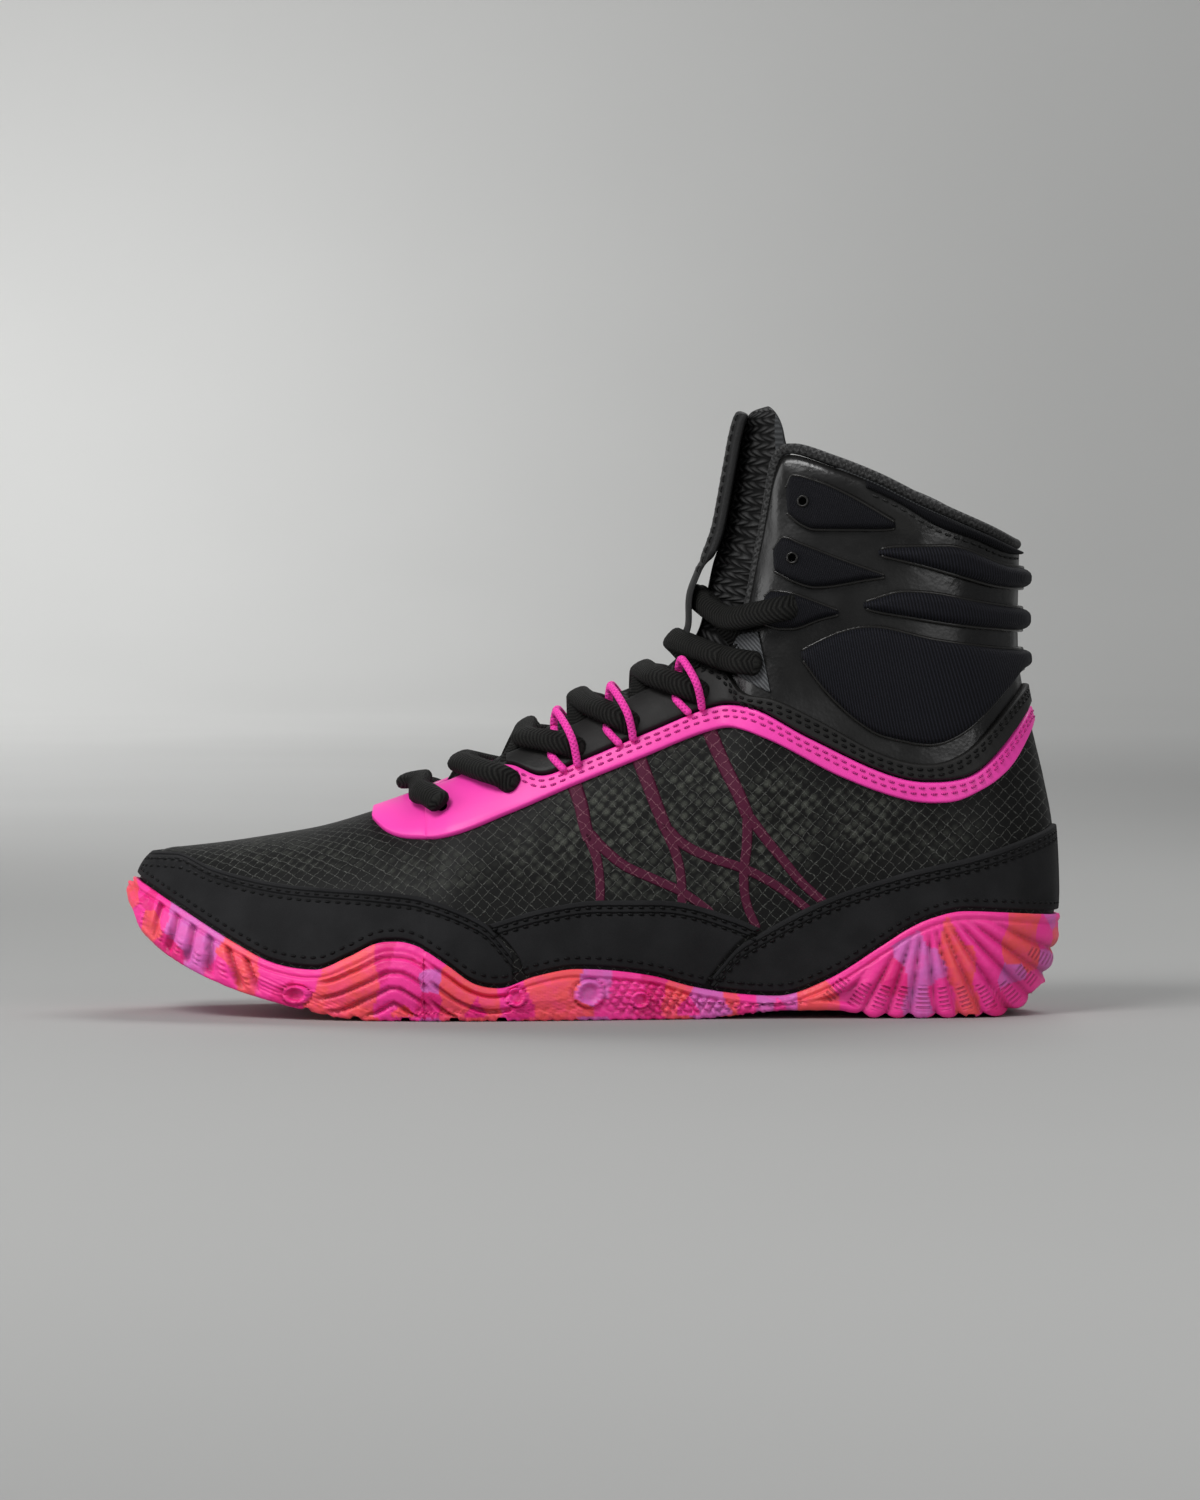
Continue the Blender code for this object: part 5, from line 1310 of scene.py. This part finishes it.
def sole_grid(side, columns):
    """Points of one half of the sole: from its spine over the inside and the rim, down the moulded
    side, round the edge and under to the spine again."""
    spine = np.stack([(section("foot_along", columns) - MIDDLE_ALONG) * LENGTH,
                      (section("sway", columns) - MIDDLE_SWAY) * BALL_WIDTH,
                      section("foot_height", columns) * COLLAR_HEIGHT - FIT_GAP], axis=1)
    rim = climb_of(SOLE_WAVE, columns, side)

    def ring(share, stand):
        return skin(columns, rim * share, side) + normal_at(columns, rim * share, side) * stand

    inner = ring(0.0, RIM_GAP)
    inner[:, 2] = skin(columns, 0 * rim, side)[:, 2] - FIT_GAP
    knots = [spine, inner, ring(0.5, RIM_GAP), ring(1.0, RIM_GAP), ring(1.0, RIM_GAP + SOLE_RIM * 0.8)]
    count = len(knots)
    shares = np.linspace(0.97, 0.0, 8)
    stands = RIM_GAP + SOLE_RIM + (SOLE_SIDE - SOLE_RIM) * np.clip((1 - shares) * 1.4, 0, 1)
    knots += [ring(share, stand) for share, stand in zip(shares, stands)]
    foot = knots[-1]
    floor = line_height(SOLE_BOTTOM, foot[:, 0])
    radius = 0.0022
    wall = foot.copy()
    wall[:, 2] = np.minimum(foot[:, 2], floor + radius)
    inset = (wall - inner) * np.array([1, 1, 0])
    inset = unit(inset)
    knots.append(wall)
    for angle in (0.5, 1.0, 1.5):
        turned = wall - inset * radius * 0.8 * (1 - math.cos(angle * math.pi / 3))
        turned[:, 2] = wall[:, 2] - np.minimum(radius, wall[:, 2] - floor) * math.sin(angle * math.pi / 3)
        knots.append(turned)
    for share in (0.15, 0.4, 0.7, 1.0):
        under = knots[count + 11] * (1 - share) + spine * share
        under[:, 2] = line_height(SOLE_BOTTOM, under[:, 0])
        knots.append(under)
    knots = np.stack(knots, axis=1)
    times = np.concatenate([np.arange(count - 1), np.linspace(count - 1, count + 8, 50),
                            np.linspace(count + 8, count + 15, 12)[1:]])
    low = np.minimum(times.astype(int), knots.shape[1] - 2)
    share = (times - low)[None, :, None]
    return knots[:, low] * (1 - share) + knots[:, low + 1] * share, times > count - 0.5, times


def build_outsole():
    """Marbled rubber sole with its moulded side and the flex grooves below."""
    columns = np.unique(np.concatenate([np.linspace(0, 0.10, 130), np.linspace(0.10, 0.88, 430),
                                        np.linspace(0.88, 1.0, 150)]))
    grids = []
    for side, _ in SIDES:
        points, outside, times = sole_grid(side, columns)
        normal = unit(np.cross(np.gradient(points, axis=0), np.gradient(points, axis=1)) * side)
        normal = np.where((columns[:, None, None] <= 0) | (columns[:, None, None] >= 1),
                          normal * np.array([1, 0, 1]), normal)
        across, down = pixels_of(points)
        shaped = sole_relief(across, down) * outside * (times < 20.5)
        points = points + normal * (shaped * sizes().relief)[..., None]
        bottom = line_height(SOLE_BOTTOM, points[..., 0])
        for along in FLEX_GROOVES:
            near = abs(points[..., 0] / LENGTH + MIDDLE_ALONG - along) * LENGTH < 0.0013
            raised = np.maximum(points[..., 2], bottom + 0.0012)
            points[..., 2] = np.where(near & (times > 14), raised, points[..., 2])
        points[..., 2] = np.maximum(points[..., 2], 0)
        grids.append((points, points / MM, side == INNER, 0))
    mesh = make_mesh("outsole", grids, [marbled_rubber("marbled_rubber")], turn=True)
    points = np.empty((len(mesh.vertices), 3))
    mesh.vertices.foreach_get("co", points.ravel())
    # These colours carry the painted shade of the moulded grooves
    paint = np.column_stack([sole_paint(points), np.ones(len(points))])
    layer = mesh.attributes.new("rubber", "FLOAT_COLOR", "POINT")
    layer.data.foreach_set("color", paint.astype(np.float32).ravel())
    mask = rung_mask(*pixels_of(points))
    mesh.attributes.new("rungs", "FLOAT", "POINT").data.foreach_set("value", mask.astype(np.float32))
    add_piece("outsole_rubber", mesh, "sole", "outsole")


def build_insole():
    """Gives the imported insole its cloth, read from the object's own places."""
    finish = Finish("insole_cloth", roughness=0.9, specular=0.2, sheen=0.1)
    place = finish.place()
    weave = finish.cells(place, 900.0, 0.3)["Distance"]
    base = colours().lining
    colour = finish.mix(finish.noise(place, 500.0, 3.0), shade(base, 0.4), shade(base, 0.9))
    made = finish.finish(colour, finish.bump(weave, 0.0002, 0.8))
    insole = bpy.data.objects["insole"]
    insole.data.materials.clear()
    insole.data.materials.append(made)


def build_fins():
    """Three padded lace tabs a side: the low one holds the lace, the upper two show their holes."""
    size = sizes()
    finish = ribbed("tab_fabric", colours().pad, period=0.58, slant=0.2, light=3.6, roughness=0.66)
    # Partly painted highlight: the binding is the shaft leather made three times lighter, so its glossy
    # raised edges read bright
    binding = leather("tab_binding", shade(colours().leather, 3.0), roughness=0.24)
    # Painted shade: the tabs' holes are near-black discs
    dark = hole_shade_finish("tab_hole")
    bound, holes = [], []
    for order, (top, bottom, hole) in enumerate(FINS):
        front = np.mean([top[0], bottom[0]], axis=0)
        back = np.mean([top[-1], bottom[-1]], axis=0)
        start, end = station_near(front), station_near(back)
        for side, word in SIDES:
            name = f"fin_{order + 1}_{word}"
            piece = add_sheet(name + "_cloth", finish, "pad", edge(bottom), edge(top), start, end,
                              size.fin, radius=0.0018, nodes=(name,), rows=10, crown=0.10, count=70,
                              only=side)
            for line in (top, bottom):
                path, up = along_edge(line, start + 0.001, end - 0.002, side, size.fin * 0.35,
                                      count=90)
                bound.append(tube(path, up, 0.0011, 0.0011, sides=8))
            holes.append(disc(hole, side, size.fin * 1.1 + 0.0002, 0.0013))
            bound.append(ring_round(hole, side, size.fin * 1.1 + 0.0002, 0.0015))
    add_grids("fin_bindings", bound, binding, "pad")
    add_grids("fin_holes", holes, dark, "pad")


def flat_frame(place, side, lift):
    """Point over the skin at a place of the picture, the way out, and two ways across."""
    station, climb = spots([place])
    centre = lifted(station, climb, side, lift)[0]
    up = normal_at(station, climb, side)[0]
    first = unit(np.cross(up, np.array([0.0, 0.0, 1.0])))
    return centre, up, first, np.cross(up, first)


def ring_round(place, side, lift, radius):
    """Thin bead round a hole: a small circle carried round a larger one."""
    centre, up, first, second = flat_frame(place, side, lift)
    turn = np.linspace(0, 2 * math.pi, 25)[:, None, None]
    roll = np.linspace(0, 2 * math.pi, 7)[None, :, None]
    reach = first * np.cos(turn) + second * np.sin(turn)
    points = centre + reach * (radius + 0.00035 * np.cos(roll)) + up * 0.00035 * np.sin(roll)
    return points, np.zeros(points.shape), False, 0


def disc(place, side, lift, radius):
    """Small dark lens at a place of the picture: a profile turned about the way out."""
    centre, up, first, second = flat_frame(place, side, lift)
    turn = np.linspace(0, 2 * math.pi, 17)[None, :, None]
    share = np.array([0.0, 0.5, 0.9, 1.0, 0.9, 0.0])[:, None, None]
    rise = np.array([-0.6, -0.5, 0.0, 0.2, -1.5, -1.5])[:, None, None] * 0.0003
    points = centre + up * rise + (first * np.cos(turn) + second * np.sin(turn)) * share * radius
    return points, np.zeros(points.shape), False, 0


def edge_frame(columns, side):
    """Top edge of the wall, and the direction up out of it in the plane of the skin."""
    line = skin(columns, 1.0, side)
    rib = line - skin(columns, 0.97, side)
    along = unit(np.gradient(line, axis=0))
    return line, unit(rib - along * np.sum(rib * along, axis=1, keepdims=True))


def build_lining_roll():
    """Padded lining that rolls up over the inner side's collar and stands a little above it."""
    columns = np.linspace(station_near((800, 452)), 0.995, 160)
    line, away = edge_frame(columns, INNER)
    out = normal_at(columns, 1.0, INNER)
    share = np.linspace(0, 1, len(columns))
    swell = np.sin(math.pi * share) ** 0.6
    turn = np.linspace(0, 2 * math.pi, 25)[None, :, None]
    centre = line - out * 0.0040 + away * (-0.0045 + 0.0046 * swell)[:, None]
    high = (0.0030 + 0.0016 * swell)[:, None, None] * np.clip(swell, 0.05, 1)[:, None, None]
    points = centre[:, None] + out[:, None] * np.cos(turn) * 0.0022 + away[:, None] * np.sin(turn) * high
    points = np.concatenate([centre[:1, None] + 0 * points[:1], points, centre[-1:, None] + 0 * points[:1]])
    run = np.linspace(0, 118, len(points))[:, None] * np.ones((1, 25))
    coords = np.stack([run, turn[:, :, 0] * 3.0 + 0 * run, 0 * run], axis=-1)
    finish = ribbed("roll_cloth", colours().lining, period=1.5, slant=0.9, depth=0.0003, light=1.7)
    piece = add_grids("lining_roll", [(points, coords, False, 0)], finish, "lining")


def build_collar():
    """Rolled cuff round the collar, and the grey cord along the throat, the shaft and the collar."""
    size = sizes()
    cloth = ribbed("cuff_cloth", shade(colours().pad, 0.8), period=0.9, slant=0.5, light=2.4)
    cord = braided("grey_cord", (0.034, 0.034, 0.034), pitch=2.1, light=1.5, dark=0.4, depth=0.0003)
    start = station_near((862, 476))
    piece = add_sheet("collar_cuff_cloth", cloth, "mesh", edge(CUFF_BOTTOM), top_edge, start, 1.0,
                      size.cuff, radius=0.0013, nodes=("collar_cuff",), crown=0.2, open_ends=(1,))
    first = station_near((742, 590))
    columns = np.linspace(first, 1.0, 420)
    halves, ways = [], []
    for side, _ in SIDES:
        line, away = edge_frame(columns, side)
        inner = line - normal_at(columns, 1.0, side) * UPPER_WALL / 2
        halves.append(inner + away * (size.piping + 0.0004))
        ways.append(away)
    path = np.concatenate([halves[0], halves[1][-2::-1]])
    way = np.concatenate([ways[0], ways[1][-2::-1]])
    roll = tube(path, way, 2 * size.piping, 2 * size.piping)
    add_grids("collar_cord", [roll], cord, "piping", "collar_piping")
    build_lining_roll()
    rows = []
    for side, _ in SIDES:
        rows.append(along_edge(CUFF_BOTTOM, start + 0.004, 0.985, side, 0.0003, 0.0012, 500))
    thread = plain_thread("collar_thread", (0.02, 0.02, 0.02))
    add_threads("collar_stitches", thread, "mesh", rows, size.stitch_radius * 0.8)


def tongue_frame(share):
    """Front line of the tongue, its forward direction, and its shares of width, wrap and padding."""
    times = np.linspace(0, 1, len(TONGUE))
    columns = np.array(TONGUE).T

    def place(at):
        along, height = smooth_curve(times, columns[0], at), smooth_curve(times, columns[1], at)
        sway = np.full(along.shape, -MIDDLE_SWAY * BALL_WIDTH)
        return np.stack([(along - MIDDLE_ALONG) * LENGTH, sway, height * COLLAR_HEIGHT], axis=-1)

    share = np.asarray(share, float)
    step = 0.01
    way = unit(place(np.minimum(share + step, 1)) - place(np.maximum(share - step, 0)))
    forward = np.stack([-way[..., 2], 0 * share, way[..., 0]], axis=-1)
    return place(share), forward, [smooth_curve(times, column, share) for column in columns[2:]]


def build_tongue():
    """Padded tongue: its sides wrap back by the square of their distance, spacer mesh in front and
    ribbed lining behind, which meet at a seam along its edge."""
    share = np.linspace(0, 1, 240)
    front_line, forward, (width, wrap, padding) = tongue_frame(share)
    turn = np.linspace(0, 2 * math.pi, 73)
    across = np.sign(np.cos(turn)) * abs(np.cos(turn)) ** 0.85
    deep = np.sin(turn)
    side = np.array([0.0, 1.0, 0.0])
    flat = across[None, :, None]
    top_round = np.sqrt(np.clip(1 - np.clip((share - 0.95) / 0.05, 0, 1) ** 2, 0, 1))
    level = soft_step(share, 0.72, 0.93)[:, None]
    back_way = unit(-forward * (1 - level) + np.array([1.0, 0.0, 0.10]) * level)
    body = front_line[:, None] + back_way[:, None] * wrap[:, None, None] * TONGUE_WIDTH * flat ** 2
    body = body + side * flat * width[:, None, None] * TONGUE_WIDTH / 2
    plump = 1.0 + 0.35 * soft_step(share, 0.6, 0.85)[:, None]
    depth = padding[:, None] * TONGUE_PAD * plump * (1 - 0.25 * abs(across)[None] ** 6)
    puff = 1 + 0.10 * np.sin(share * 46 + 1)[:, None] * (1 - across[None] ** 2)
    depth = depth * puff
    inward = back_way[:, None] - side * flat * 0.35
    points = body + inward * (depth * (0.5 - 0.5 * deep[None]))[..., None]
    centre = np.mean(points[:, :-1], axis=1, keepdims=True)
    points = centre + (points - centre) * top_round[:, None, None]
    column, row = pixels_of(points)
    middle, half, crown, fall = TONGUE_DOME
    dome = crown + half * 1.6 * (1 - np.sqrt(np.clip(1 - ((column - middle) / half) ** 2, 0, 1)))
    dome = dome + fall * abs(points[..., 1] / (TONGUE_WIDTH / 2)) ** 2.5
    dome = dome + np.clip(2.0 * (abs(column - middle) - half), 0, 14)
    points[..., 2] -= np.maximum(dome - row, 0) * LENGTH / PIXELS_LONG
    points = shut(points)
    length = run_of(front_line)
    run = np.concatenate([[0], length, length[-1:]]) / MM
    reach = np.broadcast_to(across * 14.0, points.shape[:2])
    coords = np.stack([np.broadcast_to(run[:, None], points.shape[:2]), reach, 0 * reach], axis=-1)
    slots = np.broadcast_to(np.where(deep[:-1] + deep[1:] > 1.25, 0, 1), (len(points) - 1, 72))
    finishes = [spacer_mesh("spacer_mesh", (0.0105, 0.0105, 0.0105)),
                ribbed("tongue_lining", colours().lining, period=1.5, slant=0.0, light=1.7)]
    mesh = make_mesh("tongue", [(points, coords, False, slots)], finishes, turn=True)
    piece = add_piece("tongue_padded", mesh, "mesh", "tongue")


def build_cover():
    """Smooth flap before the tongue whose strap runs down over the lace to a seam."""
    times, stand, thick = np.array(COVER).T
    share = np.linspace(times[0], times[-1], 150)
    stand, thick = smooth_curve(times, stand, share), smooth_curve(times, thick, share)
    front_line, forward, _ = tongue_frame(share)
    turn = np.linspace(0, 2 * math.pi, 41)
    across = np.sign(np.cos(turn)) * abs(np.cos(turn)) ** 0.5
    deep = np.sign(np.sin(turn)) * abs(np.sin(turn)) ** 0.6
    ends = np.clip(np.minimum(share - share[0], share[-1] - share) / 0.012, 0, 1)
    ends = np.sqrt(np.clip(1 - (1 - ends) ** 2, 0, 1))
    centre = front_line + forward * (stand + thick / 2)[:, None]
    half = COVER_WIDTH / 2 * (0.80 + 0.20 * soft_step(share, 0.62, 0.67)) * (0.9 + 0.1 * ends)
    points = centre[:, None] + np.array([0.0, 1.0, 0.0]) * (across[None] * half[:, None])[..., None]
    bow = (thick / 2 * ends)[:, None] * deep[None] - 0.0010 * across[None] ** 2
    points = shut(points + forward[:, None] * bow[..., None])
    run = np.concatenate([[0], run_of(front_line), [0]]) / MM
    coords = np.stack(np.broadcast_arrays(run[:, None], across[None] * 13.0, deep[None]), axis=-1)
    finish = leather("cover_leather", (0.0052, 0.0052, 0.0054), roughness=0.62, grains=1500.0,
                     depth=0.00012)
    add_grids("lace_cover_flap", [(points, coords, False, 0)], finish, "cover", "lace_cover")
    rows = []
    for offset in (-1, 1):
        mid = slice(45, 146)
        path = centre[mid] + forward[mid] * (thick[mid] / 2)[:, None] - forward[mid] * 0.0006
        path = path + np.array([0.0, offset * COVER_WIDTH * 0.40, 0.0])
        rows.append((path, forward[mid]))
    thread = plain_thread("cover_thread", (0.02, 0.02, 0.02))
    add_threads("cover_stitches", thread, "cover", rows, sizes().stitch_radius * 0.8)


def lace_over(number, side, lift, crest_pixel):
    """High end of a strand: from its eyelet, over the eyestay, to the throat's edge, headed for the
    crest of its crossing."""
    eyelet, crest = np.array(EYELETS[number], float), np.array(crest_pixel, float)
    height = THROAT_EDGES[number - 1] * 0.45 + THROAT_EDGES[number] * 0.55
    over = throat_station(height)
    edge_pixel = np.array(pixels_of(skin(over, 1.0, side)))
    pixels = [eyelet + (edge_pixel - eyelet) * share for share in (-0.18, 0.06, 0.5)]
    station, climb = spots(pixels)
    station, climb = np.append(station, over), np.append(climb, 1.0)
    lifts = np.array([lift - 0.0026, lift - 0.0004, lift, lift + 0.0004])
    return lifted(station, climb, side, lifts), normal_at(station, climb, side)


def throat_station(height):
    """Station at which the throat's edge stands at a height, a share of COLLAR_HEIGHT."""
    rising = np.linspace(STATIONS[10], STATIONS[20], 400)
    return np.interp(height, section("top_height", rising), rising)


def lace_under(number, side):
    """Low end of a strand: it comes up from under the throat's edge beside its eyelet."""
    over = throat_station(THROAT_EDGES[number] * 0.8 + THROAT_EDGES[number + 1] * 0.2)
    station, climb = np.array([over, over]), np.array([0.90, 0.985])
    lifts = (-0.0042, -0.0030)
    return lifted(station, climb, side, lifts), normal_at(station, climb, side)


def lace_path(first, crest, second, count=90):
    """Smooth path through the two halves and the crest between them."""
    knots = np.concatenate([first[0], crest[0], second[0][::-1]])
    faces = np.concatenate([first[1], crest[1], second[1][::-1]])
    times = np.linspace(0, 1, len(knots))
    at = np.linspace(0, 1, count)
    path = np.stack([smooth_curve(times, knots[:, axis], at) for axis in range(3)], axis=1)
    face = np.stack([smooth_curve(times, faces[:, axis], at) for axis in range(3)], axis=1)
    return path, unit(face)


def build_laces():
    """Flat black lace: a front bar, then two strands to each crossing up to the top eyelets."""
    size = sizes()
    lift = size.facing + 0.0004 + size.lace_thickness / 2
    grids = []
    halves = []
    start_station, start_climb = spots([EYELETS[0]])
    crest_station = station_near((414, 789))
    share = np.linspace(0, 1, 6)[:-1]
    stations = start_station + (crest_station - start_station) * share
    arc = arc_of(start_station, start_climb)
    climbs = climb_at(stations, arc + (1 - arc) * share)
    for side, _ in SIDES:
        halves.append((lifted(stations, climbs, side, lift), normal_at(stations, climbs, side)))
    one = np.array([crest_station])
    crest = lifted(one, 1.0, OUTER, lift + 0.0006), normal_at(one, 1.0, OUTER)
    path, face = lace_path(halves[0], crest, halves[1])
    grids.append(tube(path, face, size.lace_width, size.lace_thickness, sides=16, square=0.8))
    for number, (share, stand) in enumerate(CROSSINGS):
        front, forward, _ = tongue_frame(np.array([share]))
        for side, over in ((OUTER, 0.0016), (INNER, 0.0)):
            crest = front + forward * (stand + over), forward
            path, face = lace_path(lace_over(number + 1, side, lift, CRESTS[number]), crest,
                                   lace_under(number, -side))
            grids.append(tube(path, face, size.lace_width, size.lace_thickness, sides=16, square=0.8))
    finish = woven_lace("woven_lace", colours().lace)
    add_grids("lace_strands", grids, finish, "lace", "laces")
    # Painted shade: the eyelets' holes are near-black discs
    dark = hole_shade_finish("eyelet_hole")
    holes = [disc(EYELETS[number], side, size.facing + 0.0004, 0.0017) for number in range(2)
             for side, _ in SIDES]
    add_grids("eyelet_holes", holes, dark, "eyestay")


def build_loops():
    """Pink bungee loops that hold the lace at the middle eyelets of both sides."""
    size = sizes()
    low = size.facing + size.loop * 0.6
    high = size.facing + size.lace_thickness + 0.0006 + size.loop
    finish = braided("bungee_cord", colours().pink, pitch=1.3, light=1.0, dark=0.62, depth=0.00022)
    for side, word in SIDES:
        for order, number in enumerate(LOOPED_EYELETS):
            knots = np.array(LOOP_PATH, float)
            curve = spline(knots, 90)
            station, climb = spots(curve[:, :2] + np.array(EYELETS[number], float))
            points = lifted(station, climb, side, low + (high - low) * curve[:, 2])
            up = normal_at(station, climb, side)
            name = f"lace_loop_{word}_{order + 1}"
            cord = tube(points, up, 2 * size.loop, 2 * size.loop)
            add_grids(name + "_cord", [cord], finish, "bungee", name)


def build_gusset():
    """Grey woven elastic that shows between the eyestay and the shaft."""
    finish = ribbed("gusset_web", (0.085, 0.088, 0.092), period=1.3, slant=0.9, light=2.2)
    grids = []
    for side, _ in SIDES:
        rows = np.linspace(0, 1, 24)[:, None, None]
        flat = spline(GUSSET_FRONT, 30)[None] * (1 - rows) + spline(GUSSET_BACK, 30)[None] * rows
        grids += thin_sheet(flat, side, 0.0006, -0.0003)
    add_grids("gusset_web", grids, finish, "quarter")


def add_light(name, place, target, width, height, power):
    """Soft rectangular light that faces its target."""
    light = bpy.data.lights.new(name, "AREA")
    light.shape = "RECTANGLE"
    light.size, light.size_y = width, height
    light.energy = power
    made = bpy.data.objects.new(name, light)
    made.location = place
    made.rotation_mode = "QUATERNION"
    made.rotation_quaternion = (Vector(target) - Vector(place)).to_track_quat("-Z", "Y")
    bpy.context.scene.collection.objects.link(made)


def build_stage():
    """Pale floor that curves up behind the shoe, soft lights, and the camera at the photo's angle."""
    near, far, radius, top = -6.0, 3.0, 0.9, 3.2
    bend = np.linspace(0.1, math.pi / 2, 14)
    run = np.concatenate([np.linspace(near, far, 14), far + radius * np.sin(bend),
                          np.full(4, far + radius)])
    rise = np.concatenate([np.zeros(14), radius * (1 - np.cos(bend)), np.linspace(1.4, top, 4)])
    across = np.linspace(near, -near, 5)
    points = np.stack(np.broadcast_arrays(across[:, None], run[None], rise[None] - 0.00002), axis=-1)
    floor = Finish("studio_floor", roughness=0.75, specular=0.25)
    tone = colours().floor
    x, y, z = floor.split(floor.place())
    # Painted light: a pool of light painted on the stage, brightest at the left and low on the wall, fading
    # upwards and towards the camera
    left = floor.band(x, -0.45, 0.37, 1.0, 0.0)
    tall = floor.band(z, 0.10, 0.70, 1.0, 0.15)
    far_off = floor.band(y, 0.5, 2.0, 0.05, 1.0)
    painted_light_pool = floor.times(floor.times(left, tall), far_off)
    clouds = floor.noise(floor.place(), 3.0, 2.0)
    # Painted light: the tone brightens towards the back wall, up to 1.75 times
    wall = floor.mix(floor.band(y, 1.0, 2.8), shade(tone, 1.0), shade(tone, 1.75))
    back = floor.mix(painted_light_pool, wall, shade(tone, 2.78))
    finish = floor.finish(floor.mix(floor.times(clouds, 0.15), back, shade(tone, 0.8)))
    mesh = make_mesh("stage", [(points, points, False, 0)], [finish])
    stage = bpy.data.objects.new("stage", mesh)
    bpy.context.scene.collection.objects.link(stage)
    for values in LAMPS:
        add_light(*values)
    world = bpy.data.worlds.new("studio")
    world.use_nodes = True
    sky = world.node_tree.nodes["Background"].inputs
    sky["Color"].default_value = (0.9, 0.92, 0.95, 1)
    sky["Strength"].default_value = 0.22
    bpy.context.scene.world = world
    add_camera()
    bpy.context.scene.view_settings.view_transform = "Standard"


def add_camera():
    """Long lens from the outer side, framed as the picture: its middle falls on the shoe's plane."""
    distance, height, lift = 2.6, 0.4558, math.radians(2.0)
    x, z = place_of(*PICTURE_MIDDLE)
    camera = bpy.data.cameras.new("camera")
    camera.sensor_fit = "VERTICAL"
    camera.sensor_height = 36.0
    camera.lens = camera.sensor_height * distance / height
    camera.clip_end = 20.0
    made = bpy.data.objects.new("camera", camera)
    target = Vector((float(x), 0.0, float(z)))
    made.location = target + Vector((0, -distance * math.cos(lift), distance * math.sin(lift)))
    made.rotation_mode = "QUATERNION"
    made.rotation_quaternion = (target - made.location).to_track_quat("-Z", "Y")
    bpy.context.scene.collection.objects.link(made)
    bpy.context.scene.camera = made


class SHOE_OT_stage(bpy.types.Operator):
    """Adds the studio floor, the lights and the camera"""

    bl_idname = "shoe.stage"
    bl_label = "Studio stage"

    def execute(self, context):
        build_stage()
        return {"FINISHED"}


class SHOE_OT_sole(bpy.types.Operator):
    """Builds the marbled rubber sole and the insole's cloth"""

    bl_idname = "shoe.sole"
    bl_label = "Sole"

    def execute(self, context):
        build_outsole()
        build_insole()
        return {"FINISHED"}


class SHOE_OT_upper(bpy.types.Operator):
    """Builds the mesh and leather skin with its straps and gusset"""

    bl_idname = "shoe.upper"
    bl_label = "Upper"

    def execute(self, context):
        build_upper()
        build_straps()
        build_gusset()
        return {"FINISHED"}


class SHOE_OT_overlays(bpy.types.Operator):
    """Builds the rands, the pink band and the eyestay with their stitches"""

    bl_idname = "shoe.overlays"
    bl_label = "Overlays"

    def execute(self, context):
        build_rands()
        build_band()
        build_eyestay()
        return {"FINISHED"}


class SHOE_OT_padding(bpy.types.Operator):
    """Builds the ankle pad, the ribs, the lace tabs and the collar"""

    bl_idname = "shoe.padding"
    bl_label = "Padding"

    def execute(self, context):
        build_pads()
        build_fins()
        build_collar()
        return {"FINISHED"}


class SHOE_OT_tongue(bpy.types.Operator):
    """Builds the padded tongue and the flap before it"""

    bl_idname = "shoe.tongue"
    bl_label = "Tongue"

    def execute(self, context):
        build_tongue()
        build_cover()
        return {"FINISHED"}


class SHOE_OT_laces(bpy.types.Operator):
    """Builds the lace, its holes and the bungee loops"""

    bl_idname = "shoe.laces"
    bl_label = "Laces"

    def execute(self, context):
        build_laces()
        build_loops()
        return {"FINISHED"}


class SHOE_PT_panel(bpy.types.Panel):
    """Buttons and sizes of the shoe in the 3D view's sidebar"""

    bl_label = "Wrestling shoe"
    bl_idname = "SHOE_PT_panel"
    bl_space_type = "VIEW_3D"
    bl_region_type = "UI"
    bl_category = "Shoe"

    def draw(self, context):
        for operator in OPERATORS:
            self.layout.operator(operator.bl_idname)
        for group in (context.scene.shoe_sizes, context.scene.shoe_colours):
            for name in group.__annotations__:
                self.layout.prop(group, name)


OPERATORS = (SHOE_OT_stage, SHOE_OT_sole, SHOE_OT_upper, SHOE_OT_overlays, SHOE_OT_padding,
             SHOE_OT_tongue, SHOE_OT_laces)
CLASSES = (ShoeColours, ShoeSizes, *OPERATORS, SHOE_PT_panel)


def register():
    for made in CLASSES:
        bpy.utils.register_class(made)
    bpy.types.Scene.shoe_colours = PointerProperty(type=ShoeColours)
    bpy.types.Scene.shoe_sizes = PointerProperty(type=ShoeSizes)


def unregister():
    del bpy.types.Scene.shoe_sizes
    del bpy.types.Scene.shoe_colours
    for made in reversed(CLASSES):
        bpy.utils.unregister_class(made)


def main():
    """Builds every piece in order."""
    register()
    bpy.ops.shoe.stage()
    bpy.ops.shoe.sole()
    bpy.ops.shoe.upper()
    bpy.ops.shoe.overlays()
    bpy.ops.shoe.padding()
    bpy.ops.shoe.tongue()
    bpy.ops.shoe.laces()


if __name__ == "__main__":
    main()
